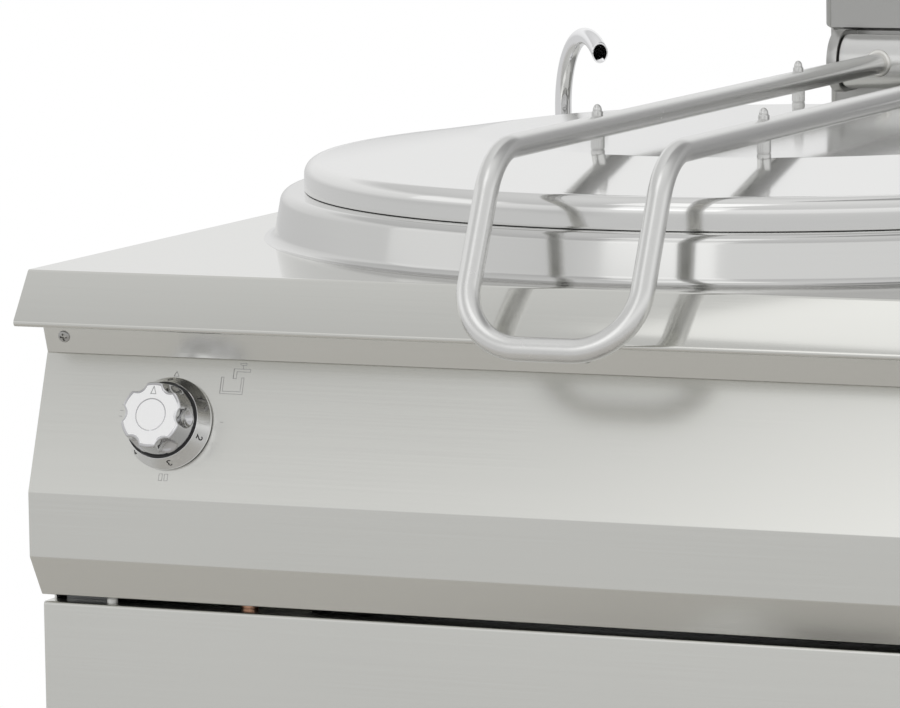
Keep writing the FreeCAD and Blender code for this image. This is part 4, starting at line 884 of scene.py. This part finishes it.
for child, label in (("fill_knob", "fill"), ("heat_knob", "heat")):
    seat = np.array(knob_joints[child]["pos_m"], float)
    seat_skirt = seat + knob_axis * KNOB_LIFT
    grip_seat = seat + knob_axis * (KNOB_LIFT + SKIRT_H - 0.0010)
    skirt_grid = turned(skirt_profile, (0.0, 0.0, 0.0), 160)[0]
    piece(label + "_dial_cone", child, chrome,
          [(on_slope(skirt_grid, seat_skirt), True, True, False)], [label + "_knob_skirt"], sharp=40.0)
    piece(label + "_grip", child, grip_chrome_painted_shade,
          [(on_slope(grip_surface(), grip_seat), False, True, True)], [label + "_knob_grip"], sharp=50.0)
    disc = face_disc(groove_rows + [0.0], [h + 0.00004 for h in groove_heights] + [GRIP_H + 0.00004])
    piece(label + "_grip_face", child, satin_face,
          [(on_slope(disc, grip_seat), False, True, False)], sharp=60.0)
    dress(turned_steel, label + "_spindle")
    # Black ring down in the groove between the grip's foot and the skirt's lip: painted shade for the gap
    # between the two parts.
    gap_shade_ring = [(GRIP_BASE_R - 0.0010, SKIRT_H - 0.0015), (GRIP_BASE_R + 0.0010, SKIRT_H - 0.0015),
            (GRIP_BASE_R + 0.0010, SKIRT_H - 0.0004), (GRIP_BASE_R - 0.0010, SKIRT_H - 0.0004)]
    strokes = [(on_slope(turned(gap_shade_ring + gap_shade_ring[:1], (0.0, 0.0, 0.0), 96)[0], seat_skirt), True, True, False)]
    for number, figure in enumerate(FIGURES):
        angle = math.pi / 2.0 + number * FIGURE_STEP
        for path in FIGURES[figure]:
            flat = (np.asarray(path) - 0.5) * (FIGURE_H * 0.72, FIGURE_H)
            strokes.append(stroke(fine(flat), FIGURE_LINE,
                                  lambda ring: on_slope(on_cone(ring, angle), seat)))
    piece(label + "_dial_figures_and_gap_shade", child, ink_and_gap_shade, strokes, sharp=30.0)
    pointer = outline_mark([(-0.0019, 0.0142), (0.0, 0.0192), (0.0019, 0.0142)])
    piece(label + "_pointer_mark", child, etched,
          [stroke(pointer, 0.0005, lambda ring: on_slope(ring + (0, 0, GRIP_H), grip_seat))])

# Marks on the control panel. Thin etched outlines: an index over each dial, short ticks at its
# sides and foot, and a plain picture of an open vessel under a water tap beside the filling knob.
MARK_LINE = 0.00032
INDEX_UP = 0.0330
marks = []
for child in ("fill_knob", "heat_knob"):
    seat = np.array(knob_joints[child]["pos_m"], float)
    place = lambda ring, seat=seat: on_slope(ring, seat)
    index = [(-0.0018, INDEX_UP), (0.0, INDEX_UP + 0.0032), (0.0018, INDEX_UP)]
    marks.append(stroke(outline_mark(index), MARK_LINE, place))
    for x0, y0 in ((-0.0375, 0.012), (-0.0385, 0.008), (-0.0390, 0.004), (0.0365, 0.003)):
        marks.append(stroke([(x0, y0), (x0 + 0.0025, y0)], MARK_LINE, place))
    for x0 in (-0.0020, 0.0020):
        marks.append(stroke([(x0 - 0.0012, -0.0340), (x0 + 0.0012, -0.0340), (x0 + 0.0012, -0.0385),
                             (x0 - 0.0012, -0.0385), (x0 - 0.0012, -0.0340)], MARK_LINE, place))
seat = np.array(knob_joints["fill_knob"]["pos_m"], float)
place = lambda ring: on_slope(ring, seat)
PICTURE_X = 0.0335
PICTURE_Y = 0.0225
vessel = outline_mark([(0.0, 0.0112), (0.0, 0.0), (0.0165, 0.0), (0.0165, 0.0112),
                       (0.0148, 0.0112), (0.0148, 0.0017), (0.0017, 0.0017), (0.0017, 0.0112)])
pipe = outline_mark([(0.0085, 0.0105), (0.0085, 0.0172), (0.0205, 0.0172),
                     (0.0205, 0.0153), (0.0108, 0.0153), (0.0108, 0.0105)])
tap = [(0.0150, 0.0174), (0.0150, 0.0198), (0.0128, 0.0198), (0.0128, 0.0212),
       (0.0172, 0.0212), (0.0172, 0.0198), (0.0150, 0.0198)]
for path in (vessel, pipe, tap):
    marks.append(stroke(np.asarray(path) + (PICTURE_X, PICTURE_Y), MARK_LINE, place))
piece("panel_marks", "cabinet", etched, marks, sharp=30.0)

# Collar. A pressed stainless ring, welded round the hole in the worktop; it rises, rolls over
# and turns down into the mouth of the vessel, and carries the lid's rim.
PRESSED_COLOUR = (0.62, 0.62, 0.61)
COLLAR_T = 0.002
COLLAR_FLARE = 0.006
COLLAR_FOOT = 0.007
THROAT_IN = 0.0044
THROAT_H = 0.0105
collar_foot_r = collar_high.x
COLLAR_H = collar_high.z - TOP
COLLAR_TOP_R = collar_foot_r - COLLAR_FOOT - COLLAR_FLARE
FLANGE_OUT = 0.030
BOWL_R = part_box("inner_vessel")[1].x - FLANGE_OUT
pressed_steel = finish("pressed_satin", ring_grain, PRESSED_COLOUR, 1.0, 0.11, height=0.000002,
                       Contrast=0.03, Spread=0.04, Clouds=0.02, Centre=bowl_centre, Fineness=1100.0)


def closed_sheet(line, thickness):
    """Sheet profile: the line, then the same line set off by the thickness and run back."""
    return np.vstack((line, set_off(line, thickness)[::-1], line[:1]))


collar_line = rounded([
    (collar_foot_r, 0.0001),
    (collar_foot_r - COLLAR_FOOT, 0.0008),
    (COLLAR_TOP_R, COLLAR_H),
    (BOWL_R + THROAT_IN, COLLAR_H),
    (BOWL_R + THROAT_IN, COLLAR_H - THROAT_H),
], (0.0065, 0.0075, 0.005), steps=10)
piece("collar_ring", "cabinet", pressed_steel,
      [turned(closed_sheet(collar_line, -COLLAR_T), (bowl_centre[0], bowl_centre[1], TOP), 320)],
      ["vessel_collar"], sharp=50.0)

# Filling spout. A bright bent tube that turns in a ferrule on the worktop; its mouth is cut off
# upright and shows the wall of the tube, and a black plug a little way in is painted shade for the inside.
SPOUT_R = 0.0065
SPOUT_T = 0.001
SPOUT_BEND = 0.060
SPOUT_SWEEP = math.radians(125.0)
SPOUT_RISE = 0.050
SPOUT_FOOT = -0.044
SPOUT_TURN = math.radians(-50.0)
# Matt black material for the plug inside the spout's mouth: painted shade that stands in for the shade
# inside the tube.
painted_shade_inside = finish("tube_inside_painted_shade", even_grain, INK_AND_SHADE_COLOUR, 0.0, 0.6, Contrast=0.1, Fineness=900.0)
spout_joint = next(joint for joint in frame["joints"] if joint["child"] == "spout")
spout_place = np.array(spout_joint["pos_m"], float)


def path_bend(points, radii, steps=18):
    """Places and directions along straight runs joined by arcs, in three dimensions."""
    places = rounded(points, radii, steps)
    gaps = np.linalg.norm(np.diff(places, axis=0), axis=1)
    keep = np.concatenate(([True], gaps > 1e-7))
    places = places[keep]
    ahead = np.empty_like(places)
    first, last = places[1] - places[0], places[-1] - places[-2]
    runs = np.diff(places, axis=0)
    runs /= np.linalg.norm(runs, axis=1)[:, None]
    ahead[1:-1] = runs[:-1] + runs[1:]
    ahead[0], ahead[-1] = first, last
    return places, ahead / np.linalg.norm(ahead, axis=1)[:, None]


def tube_grid(places, ahead, radii, sides=40):
    """Rings across a path: the side direction is carried along it, kept square to each new direction."""
    side = np.cross(ahead[0], (0.0, 0.0, 1.0) if abs(ahead[0][2]) < 0.9 else (1.0, 0.0, 0.0))
    frames = []
    for direction in ahead:
        side = side - direction * (side @ direction)
        side = side / np.linalg.norm(side)
        frames.append(side)
    side = np.array(frames)
    other = np.cross(ahead, side)
    angle = full_turn(sides)
    along, round_it = np.cos(angle)[None, :, None], np.sin(angle)[None, :, None]
    ring = along * side[:, None, :] + round_it * other[:, None, :]
    return places[:, None, :] + np.asarray(radii)[:, None, None] * ring


turned_by = np.concatenate(([0.0], np.linspace(0.0, SPOUT_SWEEP - 0.1, 44), [SPOUT_SWEEP]))
spout_lead = np.array([math.cos(SPOUT_TURN), math.sin(SPOUT_TURN), 0.0])
spout_ahead = np.sin(turned_by)[:, None] * spout_lead + np.cos(turned_by)[:, None] * (0, 0, 1)
spout_places = SPOUT_BEND * (1.0 - np.cos(turned_by))[:, None] * spout_lead
spout_places[:, 2] += SPOUT_RISE + SPOUT_BEND * np.sin(turned_by)
spout_places[0, 2] = SPOUT_FOOT
spout_places += spout_place
mouth_rows = np.array((0, 0, 0, 1, 2, 4, 6, 9))
inner_radii = [SPOUT_R, SPOUT_R - 0.0002] + [SPOUT_R - SPOUT_T] * (len(mouth_rows) - 2)
spout_rows = np.concatenate((np.arange(len(spout_places) - 1), len(spout_places) - 1 - mouth_rows))
spout_radii = [SPOUT_R] * (len(spout_places) - 1) + inner_radii
spout_grid = tube_grid(spout_places[spout_rows], spout_ahead[spout_rows], spout_radii)
mouth_at = SPOUT_BEND * (1.0 - math.cos(SPOUT_SWEEP)) - np.array((0.0, 0.0002, 0.0003))
for row, reach in enumerate((mouth_at[1], mouth_at[0], mouth_at[1]), len(spout_places) - 1):
    short = reach - (spout_grid[row] - spout_place) @ spout_lead
    spout_grid[row] += (short / (spout_ahead[-1] @ spout_lead))[:, None] * spout_ahead[-1]
# Plug a little way inside the mouth, in the black material: painted shade for the inside of the tube.
plug_rows = np.array((7, 8, 9))
plug = tube_grid(spout_places[-1 - plug_rows], spout_ahead[-1 - plug_rows],
                 [SPOUT_R - SPOUT_T + 0.0002] * 3)
swivel_ring = [(SPOUT_R - 0.0003, 0.0222), (0.0090, 0.0222), (0.0095, 0.0228), (0.0095, 0.0254),
               (0.0090, 0.0260), (SPOUT_R - 0.0003, 0.0260), (SPOUT_R - 0.0003, 0.0222)]
piece("spout_tube", "spout", chrome,
      [(spout_grid, False, True, True), turned(swivel_ring, spout_place, 48)], ["fill_spout"], sharp=50.0)
piece("spout_painted_shade_plug", "spout", painted_shade_inside, [(plug, False, True, True)], sharp=50.0)
ferrule_profile = [(0.0066, 0.0), (0.0180, 0.0), (0.0180, 0.0018), (0.0172, 0.0032), (0.0150, 0.0048),
                   (0.0120, 0.0062), (0.0110, 0.0085), (0.0110, 0.0195), (0.0104, 0.0215), (0.0098, 0.0220),
                   (0.0066, 0.0220), (0.0066, 0.0)]
piece("spout_socket", "cabinet", chrome,
      [turned(ferrule_profile, spout_place, 64)], ["spout_ferrule"], sharp=35.0)

# Hinge column. A folded sheet housing at the back of the worktop with rounded front edges;
# its two cheeks carry the ends of the hinge, and the springs sit inside.
COLUMN_COLOUR = (0.46, 0.46, 0.45)
column_sheet = finish("column_sheet", even_grain, COLUMN_COLOUR, 1.0, 0.3, height=0.000008, Contrast=0.08,
                      Spread=0.1, Clouds=0.04, Fineness=900.0)
dress(column_sheet, "hinge_column", edge=0.0012)
dress(turned_steel, "hinge_axle", "torsion_springs")

# Hinge barrel. A thick satin tube across the column with nylon bushes in its ends; the lid's
# two arms are welded into it, and each weld stands up as a small bead.
ARM_COLOUR = (0.74, 0.74, 0.73)
BEAD_COLOUR = (0.80, 0.79, 0.76)
BARREL_R = 0.021
ARM_R = 0.0080
BEAD_R = 0.0020
BEAD_OUT = 0.0006
BEAD_STEPS = 72
BARREL_WALL = 0.004
arm_steel = finish("satin_arm", even_grain, ARM_COLOUR, 1.0, 0.26, height=0.000001, Contrast=0.03,
                   Spread=0.04, Clouds=0.03, Fineness=260.0)
weld_bead = finish("weld_bead", even_grain, BEAD_COLOUR, 1.0, 0.4, height=0.00006, Contrast=0.1,
                   Spread=0.1, Clouds=0.05, Fineness=500.0)
hinge = next(joint for joint in frame["joints"] if joint["child"] == "lid_group")
hinge_place = np.array(hinge["pos_m"], float)
barrel_low, barrel_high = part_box("hinge_barrel")
barrel_half = (barrel_high.x - barrel_low.x) / 2.0
barrel_profile = rounded([
    (BARREL_R - BARREL_WALL, -barrel_half),
    (BARREL_R, -barrel_half),
    (BARREL_R, barrel_half),
    (BARREL_R - BARREL_WALL, barrel_half),
], (0.0006, 0.0006))
barrel_profile = np.vstack((barrel_profile, barrel_profile[:1]))
piece("hinge_tube", "lid_group", arm_steel,
      [turned(barrel_profile, (0.0, hinge_place[1], hinge_place[2]), 96, up=(1, 0, 0), across=(0, 1, 0))],
      ["hinge_barrel"], sharp=45.0)
dress(nylon, "barrel_bushes")

# Lid. One pressed sheet: a rolled rim, a rounded shoulder, a shallow cone and a flat middle.
LID_COLOUR = (0.76, 0.76, 0.75)
LID_T = 0.0015
LID_SHOULDER = 0.0155
LID_LIP = 0.018
LID_FLAT = 0.012
CREASE_INSET = 0.121
lid_low, lid_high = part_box("lid")
lid_r = lid_high.x
lid_steel = finish("pressed_lid", ring_grain, LID_COLOUR, 1.0, 0.10, height=0.0000015, Contrast=0.03,
                   Spread=0.04, Clouds=0.02, Centre=bowl_centre, Fineness=1100.0)
lid_line = rounded([
    (lid_r - LID_LIP, lid_low.z),
    (lid_r, lid_low.z),
    (lid_r, lid_high.z - LID_SHOULDER),
    (lid_r - LID_FLAT, lid_high.z - LID_SHOULDER),
    (lid_r - CREASE_INSET, lid_high.z),
    (0.0, lid_high.z),
], (0.0007, 0.0105, 0.004, 0.012), steps=10)
lid_under = set_off(lid_line, -LID_T)
piece("pressed_lid", "lid_group", lid_steel,
      [turned(line, bowl_centre, 320) for line in (lid_line, np.vstack((lid_under[::-1], lid_line[:1])))],
      ["lid"], sharp=50.0)

# Studs. Four studs welded to the lid pass through spacers and the arms; a domed nut on each
# holds the handle down.
SPACER_R = 0.0048
SPACER_NECK_R = 0.0042
NUT_HALF = 0.0034
NUT_HEX_H = 0.0042
DOME_R = 0.0031
dress(turned_steel, "lid_studs")
spacers_low, spacers_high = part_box("stud_spacers")
spacer_top = spacers_high.z - 0.0001
spacer_profile = [(0.0, lid_high.z), (SPACER_R, lid_high.z), (SPACER_R, lid_high.z + 0.0018)]
spacer_profile += [(SPACER_NECK_R, lid_high.z + 0.0021), (SPACER_NECK_R, lid_high.z + 0.0026)]
spacer_profile += [(SPACER_R, lid_high.z + 0.0029), (SPACER_R, spacer_top), (0.0, spacer_top)]
spacer_spots = [(x, y, 0.0) for x in (spacers_low.x + SPACER_R, spacers_high.x - SPACER_R)
                for y in (spacers_low.y + SPACER_R, spacers_high.y - SPACER_R)]
piece("handle_spacers", "lid_group", arm_steel,
      [turned(spacer_profile, spot, 40) for spot in spacer_spots], ["stud_spacers"], sharp=35.0)


def cap_nut(spot, steps=48):
    """Cap nut: the foot reaches its half width over the cosine from the nearest flat; the dome is round."""
    low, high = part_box("domed_nuts")
    angle = full_turn(steps)
    off = (angle + math.pi / 6.0) % (math.pi / 3.0) - math.pi / 6.0
    climb = np.linspace(0.0, math.pi / 2.0, 13)
    dome_h = high.z - low.z - NUT_HEX_H - 0.0006
    rows = [(0.0 * angle, 0.0), (NUT_HALF / np.cos(off), 0.0), (NUT_HALF / np.cos(off), NUT_HEX_H - 0.0004),
            (0.0 * angle + NUT_HALF, NUT_HEX_H), (0.0 * angle + DOME_R, NUT_HEX_H + 0.0004)]
    rows += [(0.0 * angle + DOME_R * math.cos(a), NUT_HEX_H + 0.0006 + dome_h * math.sin(a)) for a in climb]
    grid = [np.stack((reach * np.cos(angle), reach * np.sin(angle), 0.0 * angle + low.z + rise), -1)
            for reach, rise in rows]
    return np.array(grid) + np.asarray(spot), False, True, False


piece("cap_nuts", "lid_group", turned_steel, [cap_nut(spot) for spot in spacer_spots],
      ["domed_nuts"], sharp=35.0)

# Lid handle. One stainless tube: two arms run forward over the lid, bend down and out past the
# nose of the worktop and join in a flat-bottomed loop, which is the grip.
ARM_X = 0.060
DROP_TOP = 0.004
BEND_R = 0.050
GRIP_BEND_R = 0.042
handle_low, handle_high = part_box("lid_handle")
arm_z = handle_high.z - ARM_R
drop_y = handle_low.y + ARM_R
grip_z = handle_low.z + ARM_R
drop_top_y = FRONT + DROP_TOP
handle_points = [(-ARM_X, handle_high.y, arm_z), (-ARM_X, drop_top_y, arm_z), (-ARM_X, drop_y, grip_z),
                 (ARM_X, drop_y, grip_z), (ARM_X, drop_top_y, arm_z), (ARM_X, handle_high.y, arm_z)]
handle_places, handle_ahead = path_bend(handle_points, (BEND_R, GRIP_BEND_R, GRIP_BEND_R, BEND_R), 24)
piece("handle_tube", "lid_group", arm_steel,
      [(tube_grid(handle_places, handle_ahead, [ARM_R] * len(handle_places), 56), False, True, True)],
      ["lid_handle"], sharp=50.0)
beads = []
for arm_x in (-ARM_X, ARM_X):
    turn_round = np.linspace(0.0, 2.0 * math.pi, BEAD_STEPS + 1)
    across, rise = (ARM_R + BEAD_OUT) * np.cos(turn_round), (ARM_R + BEAD_OUT) * np.sin(turn_round)
    ring = np.column_stack((arm_x + across, hinge_place[1] - np.sqrt(BARREL_R ** 2 - rise ** 2),
                            hinge_place[2] + rise))
    ways = np.gradient(ring, axis=0)
    ways[0] = ways[-1] = ring[1] - ring[-2]
    ways /= np.linalg.norm(ways, axis=1)[:, None]
    bead = tube_grid(ring[:-1], ways[:-1], [BEAD_R] * BEAD_STEPS, 16)
    beads.append((bead, True, True, False))
piece("arm_welds", "lid_group", weld_bead, beads)
